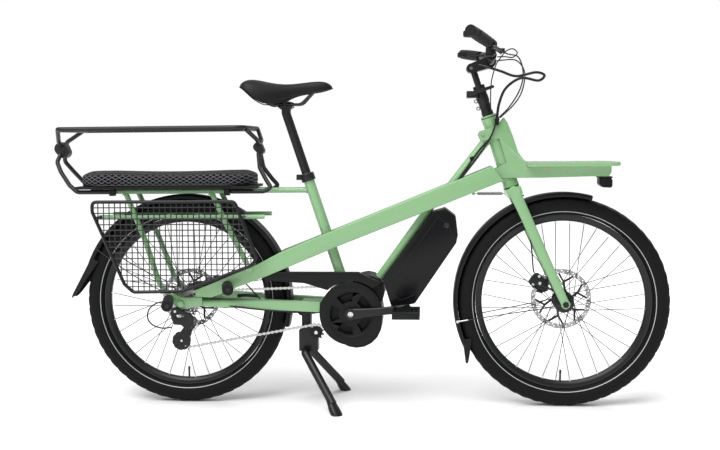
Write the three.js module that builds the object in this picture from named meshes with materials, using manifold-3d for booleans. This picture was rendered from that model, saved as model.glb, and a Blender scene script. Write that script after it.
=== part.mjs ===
// Longtail cargo bike with a passenger bench, a mid drive and a front rack.
// Millimetres, +X forward, +Y to the rider's left, +Z up, standing on both wheels and both kickstand feet.
import * as THREE from 'three';
import { mergeVertices } from 'three/addons/utils/BufferGeometryUtils.js';
import Module from 'manifold-3d';

const wasm = await Module();
wasm.setup();

// General clearances
const gap = 0.3; // between pieces that touch or turn in each other
const overrun = 2; // how far a cutter runs past what it cuts
const weldTolerance = 0.0001;

// Wheels
const wheelRadius = 308.5;
const tyreGap = 506; // between the two tyres
const wheelbase = 2 * wheelRadius + tyreGap;
const tyreWidth = 54;
const tyreInnerRadius = 256;
const rimDepth = 19;
const rimWidth = 25;
const hubShellRadius = 17;
const hubFlangeRadius = 30;
const hubFlangeThickness = 4;
const frontFlangeSpread = 52;
const rearFlangeSpread = 50;
const spokeRadius = 1.4;
const spokeCount = 18;
const axleRadius = 6;
const axleNutRadius = 10;
const axleNutLength = 9;
const rearHubWidth = 142;
const rotorRadius = 90;
const rotorBand = 15;
const rotorHubRadius = 26;
const rotorThickness = 2;
const rotorOffset = 40;
const rotorArmWidth = 8;
const rotorArmCount = 5;
const wheelSegments = 40;
const hubSegments = 12;

// Crank, chain and cassette
const bracketAhead = 502.5; // crank axis, ahead of the rear axle
const bracketHeight = 279;
const crankLength = 165;
const crankAngle = 6;
const crankThickness = 13;
const crankRootHeight = 34;
const crankTipHeight = 26;
const crankInnerFace = 64.4; // inner face of either crank, from the middle plane
const chainringPitchRadius = 80.8;
const guardRim = 12.2; // edge of the guard disc, outside the chain's pitch circle
const guardRadius = chainringPitchRadius + guardRim;
const guardThickness = 4;
const guardWindowCount = 5;
const chainPlane = 52; // middle of the chain, to the right of the middle plane
const chainWidth = 7;
const chainHeight = 8.4;
const cogPitchRadius = 32.3;
const cogRadiusStep = 8;
const smallerStepShare = 0.45;
const cogSpacing = 5;
const largerCogCount = 2;
const smallerCogCount = 1;
const cogThickness = 2;
const cassetteCoreRadius = 17;
const idlerPitchRadius = 23;
const idlerGap = 14.796; // between the pitch circles of the chainring and the idler
const idlerAngle = 28.726; // of the line from the crank axis back and down to the idler
const upperPulleyPitchRadius = 20;
const lowerPulleyPitchRadius = 24;
const upperPulleyAhead = 22; // from the rear axle
const upperPulleyDrop = 64;
const lowerPulleyAhead = -6;
const lowerPulleyDrop = 114;
const pulleyAxleRadius = 4;
const pulleyThickness = 4;

const cageRadius = 10;
const cageThickness = 2.5;
const derailleurBoltBehind = 15.5; // from the rear axle
const derailleurBoltDrop = 20.5;
const derailleurBodyThickness = 14;
const derailleurArmRadius = 12;
const hangerRadius = 11;
const chainGuardThickness = 19.5;
const chainGuardClearance = 12; // from the chain's pitch circle
const chainGuardLength = 337;
const chainGuardHeight = 33;
const chainGuardFront = 89; // ahead of the crank axis
const chainGuardTop = 122; // above the crank axis
const chainGuardAngles = [50, 135]; // of its arc round the chainring
const chainGuardSteps = 7;

// Pedals
const pedalLength = 78;
const pedalWidth = 92;
const pedalThickness = 22;
const pedalRail = 10;
const pedalAxleRadius = 6;
const pedalAxleGap = 16; // from a crank to its pedal

// Main frame
const seatAngle = 71.8;
const seatTubeRadius = 16;
const seatTubeEnd = 432; // along the seat tube from the crank axis
const seatBoreDepth = 235;
const headAngle = 72.2;
const headTubeLength = 222;
const headTubeRadius = 23;
const forkOffset = 38;
const forkLength = 365.5; // from the front axle to the head tube's lower end, along the steering axis
const beamHeight = 52;
const beamWidth = 22;
const beamRearAhead = 17; // rear end of the beam's centre line, from the rear axle
const beamRearRise = 9.5;
const beamFrontDistance = 55; // along the steering axis, above the head tube's lower end
const beamSplayStart = 471.5; // where the beams start to splay, ahead of the rear axle
const beamSplayEnd = 166.5;
const beamRearSpread = 67.4; // from the middle plane to a beam's middle, at its rear end
const beamRearCut = 42; // where a beam ends, ahead of the rear axle
const downTubeRadius = 12.5;
const downTubeTopShare = 0.786; // along the beams
const downTubeBottomAhead = 80.5; // from the crank axis
const downTubeBottomRise = 98;
const upperStrutRadius = 13.5;
const upperStrutBottomShare = 0.808; // along the beams
const upperStrutTopDistance = 172; // along the steering axis
const lugRadius = 10.5;
const gussetShare = 0.88; // rear end of the head tube's gusset, along the beams
const gussetDistances = [22, 70]; // its ends on the steering axis

// Chain stays
const stayHeight = 28;
const stayWidth = 22;
const stayFrontBehind = 92; // from the crank axis
const stayFrontRise = 17;
const stayFrontSpread = 48;
const stayRearSpread = 62;
const stayRearAhead = 34; // from the rear axle
const stayRearRise = 7.5;
const bridgeLength = 60;
const bridgeHeight = 24;
const dropoutThickness = 6;
const dropoutRadius = 17;

// Motor and battery
const motorHalfWidthRight = 44;
const motorHalfWidthLeft = 48;
const motorRadius = 92;
const motorBellyRadius = 76;
const motorBellyAhead = 14;
const motorBellyDrop = 29;
const motorNoseRadius = 52;
const motorNoseAhead = 45;
const motorNoseRise = 60;
const spindleRadius = 11;
const batteryWidth = 86;
const batteryDepth = 127.6; // from the down tube's front to the battery's front face
const batteryLength = 284; // along the down tube

// Rack
const spineRadius = 8.5;
const spineDistance = 382; // along the seat tube
const rackRearInset = 47; // rear end of the side rails, ahead of the cushion's rear end
const rackFrontReach = 23; // front end of the side rails, ahead of the cushion's front end
const spineRearBehind = 228;
const rackRailRadius = 6.5;
const rackRailSpread = 56;
const rackRailHeight = 640;
const rackCrossRadius = 6;
const rackStrutRadius = 8;
const rackLowerRailHeight = 565;
const rearStrutTopBehind = 170; // from the rear axle
const frontStrutTopAhead = 90;
const rearStrutKneeBehind = 107;
const rearStrutKneeHeight = 493;
const rearStrutShinBehind = 65;
const rearStrutShinHeight = 370;
const frontStrutKneeAhead = 130;
const frontStrutKneeHeight = 556;
const frontStrutFootAhead = 207;
const frontStrutFootHeight = 410;
const strutBend = 60;
const strutEyeRadius = 12;
const strutEyeThickness = 6;
const dropoutEarBehind = 30; // from the rear axle
const dropoutEarRise = 18;
const rearCrossBehind = 190;
const middleCrossAhead = 120;

// Bench and passenger rail
const boardThickness = 8;
const boardInset = 8;
const cushionLength = 548;
const cushionWidth = 196;
const cushionHeight = 40;
const cushionCrown = 5;
const cushionMiddleBehind = 47; // middle of the cushion, behind the rear axle
const hoopTubeRadius = 7.6;
const hoopRearReach = 31; // hoop's rear tube, behind the cushion
const hoopFrontInset = 27; // hoop's front tube, behind the cushion's front end
const hoopSpread = 122;
const hoopHeight = 826;
const hoopBend = 26;
const legTubeRadius = 6.5;
const couplingLength = 52;
const couplingWidth = 34;
const couplingHeight = 48;
const couplingMiddleHeight = 767;
const couplingRearOut = 28; // middle of the rear coupling, behind the hoop's rear tube
const couplingFrontOut = 26; // middle of the front coupling, ahead of the hoop's front tube
const couplingFrontLength = 40;

// Net panel, on the right only
const netSpread = 110;
const netTubeRadius = 5;
const netWireRadius = 1.5;
const netPitch = 48;
const netRearInset = 22; // rear end of the nets, ahead of the side rails' rear end
const netFrontInset = 16; // front end of the nets, behind the side rails' front end
const netHeight = 265;
const netTopHeight = 613;
const netArmRadius = 5;
const netRearArmInset = 32; // rear arm, ahead of the side rails' rear end
const netFrontArmInset = 60; // front arm, behind the side rails' front end
const netLowArmBehind = 48; // low arm, behind the rear axle

// Fenders
const fenderRadius = 322;
const fenderThickness = 3;
const fenderWidth = 62;
const fenderSkirt = 14;
const fenderSteps = 13;
const rearFlapLength = 118;
const rearFlapFlare = 8; // degrees, out from the tangent
const frontFlapLength = 51;
const frontFlapFlare = 15;
const flapThickness = 4;
const flapSkirt = 21;
const frontFenderAngles = [75, 205];
const rearFenderAngles = [-14, 160];
const fenderBossRadius = 8;

// Pegs and stand
const pegRadius = 16.5;
const pegLength = 98;
const pegSweep = 27; // how far ahead a peg's outer end lies
const frontPegAhead = 134; // from the rear axle
const frontPegRise = 54;
const rearPegBehind = 35;
const rearPegRise = 12.5;
const standPivotBehind = 141; // from the crank axis
const standPivotDrop = 121;
const standPivotRadius = 14;
const standLegRadius = 10;
const standFootRadius = 17;
const standFootAhead = 104; // from the pivot
const standFootSpread = 136;
const standHipSpread = 30;
const standBracketWidth = 38;
const standPinRadius = 9;
const standNeckLength = 27;
const standBodyLength = 57;
const standBodyHeight = 62;
const standFootHeight = 22;

// Saddle and seat post
const postRadius = 13.6;
const postLength = 350;
const postTopDistance = 621; // along the seat tube from the crank axis
const clampLength = 54;
const clampHeight = 24;
const saddleLength = 272;
const saddleWidth = 160;
const saddleHeight = 82;
const saddleNoseAhead = 140; // from the seat post's top
const saddleTopRise = 104;
const saddleRailRadius = 3.6;
const saddleRailSpread = 22;
const saddleShell = 20; // thickness of the saddle's padding
const saddleRailDip = 55;
const postHeadRise = 26; // from the post's top to the rails
const collarRadius = 21.5;
const collarHeight = 24;

// Fork and steering
const steererRadius = 12.7;
const crownHeight = 24;
const crownLength = 46;
const forkLegSpread = 58;
const forkLegThickness = 18;
const forkLegDepth = 34;
const forkTipDepth = 26;
const stemClampRadius = 15.5;
const stemClampTopRadius = 18;
const stemClampHeight = 92;
const stemMastRadius = 9.7;
const stemHeadLength = 92;
const stemHeadHeight = 34;
const stemHeadWidth = 42;
const stemTailShare = 0.4; // radius of the stem's rear end, of its height
const stemLeverLength = 70;
const stemLeverRadius = 6;
const barRadius = 11.1;
const barAhead = 53; // handlebar clamp, ahead of the steering axis
const barRise = 146; // handlebar clamp, above the head tube's top
const barShoulderSpread = 120;
const barShoulderRise = 28;
const gripInnerSpread = 206;
const gripOuterSpread = 332;
const gripInnerRise = 36;
const gripOuterRise = 56;
const gripSweep = 56;
const gripRadius = 16.5;
const gripPaddle = 26;
const leverClampSpread = 190;
const leverClampRadius = 15;
const leverBladeLength = 104;
const leverBladeRadius = 5;
const leverKneeShare = 0.4; // place of a blade's bend, from its pivot
const shiftLeverLength = 34;
const shifterShare = 0.55; // place of the shifter between the bar's shoulder and the grip
const shifterRadius = 15;
const shifterDrop = 26;
const shiftEyeRadius = 9;
const shiftPinLength = 10.4; // how far the paddle's pin reaches into the pod
const displayShare = 0.45;
const displayLength = 46;
const displayHeight = 34;
const displayThickness = 12;
const leverPivotAhead = 30; // of the handlebar
const leverPivotDrop = 17;
const leverPinRadius = 3;
const leverEyeRadius = 6.5;
const stemBoxBehind = 33; // of the steering axis
const stemBoxLength = 24;
const stemBoxHeight = 20;
const stemBoxWidth = 42;
const stemBoxDistance = 75; // above the head tube's top
const stemMastInset = 60; // how deep the mast sits in the steerer
const steererAbove = 80; // steerer's end above the head tube's top

// Front rack and lamp
const trayLength = 262;
const trayWidth = 214;
const trayThickness = 6;
const trayHeight = 718;
const trayRim = 9;
const trayRearBehind = 108.5; // rear end of the tray, behind the front axle
const frontRackBehind = 245.5; // rear end of the bracket, likewise
const frontRackHeight = 176;
const skirtDrop = 42;
const bracketThickness = 5;
const trayHoleRadius = 5;
const trayHoleCount = 4;
const lampWidth = 44;
const lampHeight = 30;
const lampLength = 40;
const lampLensRadius = 12.6;
const lampBehindTray = 12; // lamp's front, behind the tray's front end
const trayCorner = 40;
const trayHoleInset = 20;
const ridgeThickness = 8;
const rackBoltAhead = 11.3; // clamp bolt, from the bracket's rear end
const rackBoltShare = 0.705; // its height, of the bracket's
const rackBoltRadius = 4.5;

// Cables
const bundleRadius = 4;
const thinCableRadius = 2;
const hoseRadius = 2.5;
const springCoilRadius = 4.2;
const springWireRadius = 0.9;
const springTurns = 11;
const springCurlSteps = 8;
const springCurlSides = 5;
const springLength = 88;
const calliperLength = 44;
const calliperHeight = 52;
const calliperWidth = 20;
const calliperSlot = 5;
const calliperInnerShare = 0.8; // of a calliper's half height, towards the axle
const calliperTabThickness = 5;
const rearCalliperAngle = 30; // about the axle, up from the front
const frontCalliperAngle = 143;
const calliperTabRadius = 11;
const clipLength = 18;
const clipHeight = 24;
const clipWidth = 12;
// Cable routes, from the front axle, the middle plane and the ground
const bundleRoute = [
  [-243.5, -25.6, 1002], [-216.5, -38, 994], [-181.5, -52, 981], [-138.5, -58, 966],
  [-83.5, -57, 976], [-57.5, -46, 968], [-73.5, -35, 954], [-122.5, -30, 962],
  [-165.5, -30, 934], [-185.5, -33, 890], [-192.5, -34.5, 846],
];
const rightHoseRoute = [
  [-195.5, -176, 1028], [-169.5, -158, 1020], [-137.5, -118, 1014], [-121.5, -84, 974],
  [-128.5, -62, 928], [-156.5, -44, 880], [-189.5, -36, 846],
];
const leftHoseRoute = [
  [-195.5, 176, 1028], [-169.5, 158, 1020], [-129.5, 112, 1010], [-109.5, 60, 970],
  [-115.5, 12, 926], [-143.5, -22, 880], [-187.5, -34, 846],
];
const lowHoseRoute = [
  [-195.5, -35, 832], [-211.5, -36, 790], [-239.5, -32, 748], [-271.5, -22, 704], [-319.5, -19, 650],
];

const degree = Math.PI / 180;
const fullTurn = 360;
const quarterTurn = 90;
const rightSide = -1;
const leftSide = 1;

// Looks
const look = (color, roughness, metalness) => new THREE.MeshStandardMaterial({ color, roughness, metalness });
const framePaint = look(0x93c49a, 0.4, 0);
const blackPaint = look(0x17191a, 0.45, 0.2);
const railPaint = look(0x3a3c3b, 0.45, 0.3);
const blackPlastic = look(0x1a1b1c, 0.6, 0);
const rubber = look(0x1b1b1c, 0.85, 0);
const steel = look(0x8e9294, 0.35, 0.9);
const fabric = look(0x4b4d50, 0.95, 0);

// Solids
const vector = (x, y, z) => new THREE.Vector3(x, y, z);

function solidOf(geometry) {
  const bare = new THREE.BufferGeometry();
  bare.setAttribute('position', geometry.getAttribute('position').clone());
  if (geometry.index) bare.setIndex(geometry.index.clone());
  const merged = mergeVertices(bare, weldTolerance);
  const points = merged.getAttribute('position').array;
  const index = merged.index.array;
  const corners = [];
  let volume = 0;
  const [a, b, c] = [vector(), vector(), vector()];
  for (let i = 0; i < index.length; i += 3) {
    const face = [index[i], index[i + 1], index[i + 2]];
    if (face[0] === face[1] || face[1] === face[2] || face[2] === face[0]) continue;
    corners.push(...face);
    a.fromArray(points, face[0] * 3);
    b.fromArray(points, face[1] * 3);
    c.fromArray(points, face[2] * 3);
    volume += a.dot(b.cross(c));
  }
  if (volume < 0) corners.reverse();
  const vertProperties = new Float32Array(points);
  return new wasm.Manifold(new wasm.Mesh({ numProp: 3, vertProperties, triVerts: new Uint32Array(corners) }));
}

const join = (...solids) => solids.reduce((whole, solid) => whole.add(solid));
const cut = (whole, ...tools) => tools.reduce((rest, tool) => rest.subtract(tool), whole);

function geometryOf(solid) {
  const { vertProperties, triVerts } = solid.getMesh();
  const geometry = new THREE.BufferGeometry();
  geometry.setAttribute('position', new THREE.BufferAttribute(new Float32Array(vertProperties), 3));
  geometry.setIndex(new THREE.BufferAttribute(new Uint32Array(triVerts), 1));
  geometry.computeVertexNormals();
  return geometry;
}

function piece(name, solid, material) {
  const mesh = new THREE.Mesh(geometryOf(solid), material);
  mesh.name = name;
  return mesh;
}

// A ring turned about a Y line through [x, z]; the profile is a closed list of [radius, y].
function turned(profile, segments, [x, z]) {
  const points = [...profile, profile[0]].map(([radius, y]) => new THREE.Vector2(radius, y));
  return solidOf(new THREE.LatheGeometry(points, segments).translate(x, 0, z));
}

// A cylinder along Y, from y0 to y1, about the point [x, z].
function drum([x, z], radius, y0, y1, segments = hubSegments) {
  const geometry = new THREE.CylinderGeometry(radius, radius, y1 - y0, segments);
  return solidOf(geometry.translate(x, (y0 + y1) / 2, z));
}

// An outline of [x, z] points, with round holes, extruded from y0 to y1.
function slab(outline, y0, y1, holes = []) {
  const shape = new THREE.Shape(outline.map(([x, z]) => new THREE.Vector2(x, z)));
  for (const hole of holes) shape.holes.push(new THREE.Path(hole.map(([x, z]) => new THREE.Vector2(x, z))));
  const geometry = new THREE.ExtrudeGeometry(shape, { depth: y1 - y0, bevelEnabled: false });
  return solidOf(geometry.rotateX(90 * degree).translate(0, y1, 0));
}

// An outline of [x, y] points, extruded from z0 to z1.
function plate(outline, z0, z1) {
  const shape = new THREE.Shape(outline.map(([x, y]) => new THREE.Vector2(x, y)));
  const geometry = new THREE.ExtrudeGeometry(shape, { depth: z1 - z0, bevelEnabled: false });
  return solidOf(geometry.translate(0, 0, z0));
}

function block(x0, x1, y0, y1, z0, z1) {
  const geometry = new THREE.BoxGeometry(x1 - x0, y1 - y0, z1 - z0);
  return solidOf(geometry.translate((x0 + x1) / 2, (y0 + y1) / 2, (z0 + z1) / 2));
}

function rod(start, end, radius, sides = 8, endRadius = radius) {
  const axis = end.clone().sub(start);
  const geometry = new THREE.CylinderGeometry(endRadius, radius, axis.length(), sides);
  geometry.applyQuaternion(new THREE.Quaternion().setFromUnitVectors(vector(0, 1, 0), axis.normalize()));
  const middle = start.clone().lerp(end, 0.5);
  return solidOf(geometry.translate(middle.x, middle.y, middle.z));
}

// A path known only at its stations, which are where a tube along it needs a ring.
class StationPath extends THREE.Curve {
  constructor(stations) {
    super();
    this.stations = stations;
  }
  station(u) {
    return this.stations[Math.round(u * (this.stations.length - 1))];
  }
  getPointAt(u) {
    return this.station(u).point.clone();
  }
  getTangentAt(u) {
    return this.station(u).tangent.clone();
  }
  getSpacedPoints() {
    return this.stations.map((each) => each.point.clone());
  }
}

// Straight runs with round bends between them.
function bentStations(points, bend, bendSteps) {
  const stations = [];
  points.forEach((point, i) => {
    const before = i > 0 ? point.clone().sub(points[i - 1]).normalize() : null;
    const after = i < points.length - 1 ? points[i + 1].clone().sub(point).normalize() : null;
    if (!before || !after) {
      stations.push({ point, tangent: before ?? after });
      return;
    }
    const turn = before.angleTo(after);
    const start = point.clone().addScaledVector(before, -bend * Math.tan(turn / 2));
    const inward = after.clone().sub(before).normalize();
    const centre = point.clone().addScaledVector(inward, bend / Math.cos(turn / 2));
    const axis = before.clone().cross(after).normalize();
    for (let k = 0; k <= bendSteps; k++) {
      const angle = turn * k / bendSteps;
      const spoke = start.clone().sub(centre).applyAxisAngle(axis, angle);
      const tangent = before.clone().applyAxisAngle(axis, angle);
      stations.push({ point: centre.clone().add(spoke), tangent });
    }
  });
  return stations;
}

function roundSection(radius, sides) {
  const turn = Math.PI / sides;
  const corner = (k) => new THREE.Vector2(
    radius * Math.cos(2 * k * turn + turn),
    radius * Math.sin(2 * k * turn + turn),
  );
  return new THREE.Shape(Array.from({ length: sides }, (_, k) => corner(k)));
}

function tube(stations, radius, sides) {
  const options = { steps: stations.length - 1, extrudePath: new StationPath(stations) };
  return solidOf(new THREE.ExtrudeGeometry(roundSection(radius, sides), options));
}

const pipe = (points, radius, bend, sides = 8, bendSteps = 3) =>
  tube(bentStations(points, bend, bendSteps), radius, sides);

// A closed pipe, made in two halves that run into each other.
function ringPipe(points, radius, bend, sides, bendSteps) {
  const half = Math.floor(points.length / 2);
  const middle = (i, k) => points[i].clone().lerp(points[k], 0.5);
  const [start, end] = [middle(points.length - 1, 0), middle(half - 1, half)];
  const past = (from, to) => to.clone().sub(from).setLength(overrun);
  const first = [
    start.clone().sub(past(start, points[0])),
    ...points.slice(0, half),
    end.clone().add(past(points[half - 1], end)),
  ];
  const second = [end, ...points.slice(half), start];
  return join(pipe(first, radius, bend, sides, bendSteps), pipe(second, radius, bend, sides, bendSteps));
}

// A smooth tube through hand-chosen points.
function cable(points, radius, steps, sides = 8) {
  const extrudePath = new THREE.CatmullRomCurve3(points, false, 'centripetal');
  return solidOf(new THREE.ExtrudeGeometry(roundSection(radius, sides), { steps, extrudePath }));
}

function arc([x, z], radius, from, to, steps) {
  return Array.from({ length: steps + 1 }, (_, k) => {
    const angle = (from + (to - from) * k / steps) * degree;
    return [x + radius * Math.cos(angle), z + radius * Math.sin(angle)];
  });
}

// The outline round two circles.
function linkOutline(a, radiusA, b, radiusB, steps = 4) {
  const way = Math.atan2(b[1] - a[1], b[0] - a[0]) / degree;
  const lean = Math.acos((radiusA - radiusB) / Math.hypot(b[0] - a[0], b[1] - a[1])) / degree;
  return [
    ...arc(a, radiusA, way + lean, way + fullTurn - lean, steps),
    ...arc(b, radiusB, way - lean, way + lean, steps),
  ];
}

const mirrorY = (side, y0, y1) => (side > 0 ? [y0, y1] : [-y1, -y0]);

// A slab on one side of the bike, between the distances near and far from the middle plane.
const sideSlab = (side, outline, near, far, holes) => slab(outline, ...mirrorY(side, near, far), holes);
const sideDrum = (side, centre, radius, near, far, segments) =>
  drum(centre, radius, ...mirrorY(side, near, far), segments);

// Frame points, as [x, z] in the middle plane
const rearHub = [-wheelbase / 2, wheelRadius];
const frontHub = [wheelbase / 2, wheelRadius];
const bracket = [rearHub[0] + bracketAhead, bracketHeight];
const seatDirection = [-Math.cos(seatAngle * degree), Math.sin(seatAngle * degree)];
const headDirection = [-Math.cos(headAngle * degree), Math.sin(headAngle * degree)];
const seatPoint = (distance) => [
  bracket[0] + seatDirection[0] * distance,
  bracket[1] + seatDirection[1] * distance,
];
const headFoot = [
  frontHub[0] - forkOffset * headDirection[1] + forkLength * headDirection[0],
  frontHub[1] + forkOffset * headDirection[0] + forkLength * headDirection[1],
];
// A point along the steering axis, at a distance above the head tube's lower end and ahead of the axis.
const headPoint = (distance, ahead = 0) => [
  headFoot[0] + headDirection[0] * distance + headDirection[1] * ahead,
  headFoot[1] + headDirection[1] * distance - headDirection[0] * ahead,
];
const at = ([x, z], y = 0) => vector(x, y, z);
const beamRear = [rearHub[0] + beamRearAhead, rearHub[1] + beamRearRise];
const beamFront = headPoint(beamFrontDistance);
const beamRun = Math.hypot(beamFront[0] - beamRear[0], beamFront[1] - beamRear[1]);
const beamDirection = [(beamFront[0] - beamRear[0]) / beamRun, (beamFront[1] - beamRear[1]) / beamRun];
// A point at a share of the beam's run, raised square to it.
const beamPoint = (share, rise = 0) => [
  beamRear[0] + beamDirection[0] * beamRun * share - beamDirection[1] * rise,
  beamRear[1] + beamDirection[1] * beamRun * share + beamDirection[0] * rise,
];

// Where the line through a along u meets the line through b along v.
function meet(a, u, b, v) {
  const across = u[0] * v[1] - u[1] * v[0];
  const distance = ((b[0] - a[0]) * v[1] - (b[1] - a[1]) * v[0]) / across;
  return [a[0] + u[0] * distance, a[1] + u[1] * distance];
}

// Main beams: shares of the run and of the beam's height.
const beamTopShares = [[0, 0.35], [0.21, 0.345], [0.303, 0.515], [0.966, 0.5]];
const beamBottomShares = [[0.979, -0.5], [0.46, -0.41], [0.25, -0.44], [0.138, -0.37], [0, -0.37]];
const beamOutline = [...beamTopShares, ...beamBottomShares].map(([share, rise]) =>
  beamPoint(share, rise * beamHeight));
const beamSpread = headTubeRadius + gap + beamWidth / 2;
const splayX = rearHub[0] + beamSplayStart;
const splayEndX = rearHub[0] + beamSplayEnd;
const beamRearX = rearHub[0] + beamRearCut;
const splayRun = splayX - splayEndX;
const beamSlope = (beamRearSpread - beamSpread) / splayRun;
const beamSpreadAt = (x) => beamSpread + Math.min(Math.max(splayX - x, 0), splayRun) * beamSlope;

function sheared(solid, slope, fromX) {
  const geometry = geometryOf(solid);
  const matrix = new THREE.Matrix4().set(1, 0, 0, 0, slope, 1, 0, -slope * fromX, 0, 0, 1, 0, 0, 0, 0, 1);
  return solidOf(geometry.applyMatrix4(matrix));
}

// Chain stays
const derailleurBolt = [rearHub[0] - derailleurBoltBehind, rearHub[1] - derailleurBoltDrop];
const dropoutEar = [rearHub[0] - dropoutEarBehind, rearHub[1] + dropoutEarRise];
const stayFront = [bracket[0] - stayFrontBehind, bracket[1] + stayFrontRise];
const stayRear = [rearHub[0] + stayRearAhead, rearHub[1] + stayRearRise];
const stayIncline = (stayFront[1] - stayRear[1]) / (stayFront[0] - stayRear[0]);
const stayRise = (x) => stayRear[1] + stayIncline * (x - stayRear[0]);
const staySlope = (stayRearSpread - stayFrontSpread) / (stayFront[0] - stayRear[0]);

const staySpreadAt = (x) => stayFrontSpread + (stayFront[0] - x) * staySlope;

function staySolid(side, grow = 0) {
  const half = stayHeight / 2 + grow;
  const [x0, x1] = [stayRear[0] - grow, stayFront[0] + grow];
  const outline = [
    [x0, stayRise(x0) - half],
    [x1, stayRise(x1) - half],
    [x1, stayRise(x1) + half],
    [x0, stayRise(x0) + half],
  ];
  const reach = stayWidth / 2 + grow;
  const flat = sideSlab(side, outline, stayFrontSpread - reach, stayFrontSpread + reach);
  return sheared(flat, -side * staySlope, stayFront[0]);
}

function beamSolid(side, grow = 0) {
  const high = wheelRadius + beamRun;
  const reach = beamWidth / 2 + grow;
  const last = beamTopShares.length - 1;
  const outline = beamOutline.map(([x, z], i) => [
    x + (i === last || i === last + 1 ? 2 * grow : 0), z + (i <= last ? grow : -grow),
  ]);
  const flat = (spread) => sideSlab(side, outline, spread - reach, spread + reach);
  const wide = beamRearSpread + beamWidth;
  const span = (solid, x0, x1) => solid.intersect(block(x0, x1, -wide, wide, 0, high));
  return join(
    span(flat(beamSpread), splayX, beamFront[0] + beamHeight),
    sheared(span(flat(beamSpread), splayEndX, splayX), -side * beamSlope, splayX),
    span(flat(beamRearSpread), beamRearX - grow, splayEndX),
  );
}

function makeBeam(side) {
  const wide = beamRearSpread + beamWidth;
  const underStay = [
    [rearHub[0] - overrun, 0],
    [stayFront[0], 0],
    [stayFront[0], stayRise(stayFront[0]) + stayHeight / 2 + gap],
    [rearHub[0] - overrun, stayRise(rearHub[0] - overrun) + stayHeight / 2 + gap],
  ];
  return cut(beamSolid(side), slab(underStay, -wide, wide));
}

const headAxis = (from, to, radius, sides = 14) => rod(at(headPoint(from)), at(headPoint(to)), radius, sides);
const strutTop = headPoint(upperStrutTopDistance);
const strutBottom = beamPoint(upperStrutBottomShare);
const lug = ([x, z], reach) => drum([x, z], lugRadius, -reach, reach, 10);
const lugReach = beamSpread - beamWidth / 2 - gap;

function makeHeadTube() {
  const tube = headAxis(0, headTubeLength, headTubeRadius);
  const strut = rod(at(strutBottom), at(strutTop), upperStrutRadius, 10);
  const tab = block(
    springRear[0] - 2 * springCoilRadius, springRear[0] - gap,
    -springCoilRadius, springCoilRadius,
    springRear[1] - springCoilRadius, tabLug[1],
  );
  const web = rod(at(tabLug), at(strutBottom), upperStrutRadius / 2);
  const [low, high] = gussetDistances;
  const gusset = slab(
    [headPoint(low), headPoint(high), beamPoint(gussetShare, lugRadius), beamPoint(gussetShare, -lugRadius)],
    -lugReach, lugReach,
  );
  const bore = headAxis(-overrun, headTubeLength + overrun, steererRadius + 3 * gap, 10);
  return cut(join(tube, strut, lug(strutBottom, lugReach), lug(tabLug, lugReach), tab, web, gusset), bore);
}

// The steering spring's ends
const crownBack = headPoint(-crownHeight / 2, -crownLength / 2);
const springFront = [crownBack[0] - gap - springWireRadius, crownBack[1]];
const springRear = [springFront[0] - springLength, springFront[1]];
const tabLug = beamPoint((springRear[0] - beamRear[0]) / (beamFront[0] - beamRear[0]));

const downTubeTop = beamPoint(downTubeTopShare);
const downTubeBottom = [bracket[0] + downTubeBottomAhead, bracket[1] + downTubeBottomRise];
const makeDownTube = () => join(
  rod(at(downTubeBottom), at(downTubeTop), downTubeRadius, 12),
  lug(downTubeTop, lugReach),
);

const seatTubeStart = motorRadius + gap;
const seatTubeCross = meet(bracket, seatDirection, beamRear, beamDirection);
const spineJoint = seatPoint(spineDistance);
const rackCrossPlaces = [rearHub[0] - rearCrossBehind, rearHub[0], rearHub[0] + middleCrossAhead];

function makeSeatTube() {
  const tube = rod(at(seatPoint(seatTubeStart)), at(seatPoint(seatTubeEnd)), seatTubeRadius, 12);
  const spineEnd = [rearHub[0] - spineRearBehind, rackRailHeight];
  const spine = rod(at([spineJoint[0], rackRailHeight]), at(spineEnd), spineRadius, 8);
  const reach = rackRailSpread - rackRailRadius - gap;
  const crossBars = rackCrossPlaces.map((x) => drum([x, rackRailHeight], rackCrossRadius, -reach, reach, 6));
  const [boreFoot, boreTop] = [seatPoint(seatTubeEnd - seatBoreDepth), seatPoint(seatTubeEnd + overrun)];
  const bore = rod(at(boreFoot), at(boreTop), postRadius + 3 * gap, 12);
  return cut(join(tube, spine, lug(seatTubeCross, lugReach), ...crossBars), bore);
}

const rearCalliperFace = staySpreadAt(rearHub[0] + rotorRadius + calliperHeight / 2) - stayWidth / 2 - gap;
const [rearCalliperSpot] = arc(rearHub, rotorRadius - rotorBand / 2, rearCalliperAngle, rearCalliperAngle, 1);

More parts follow.
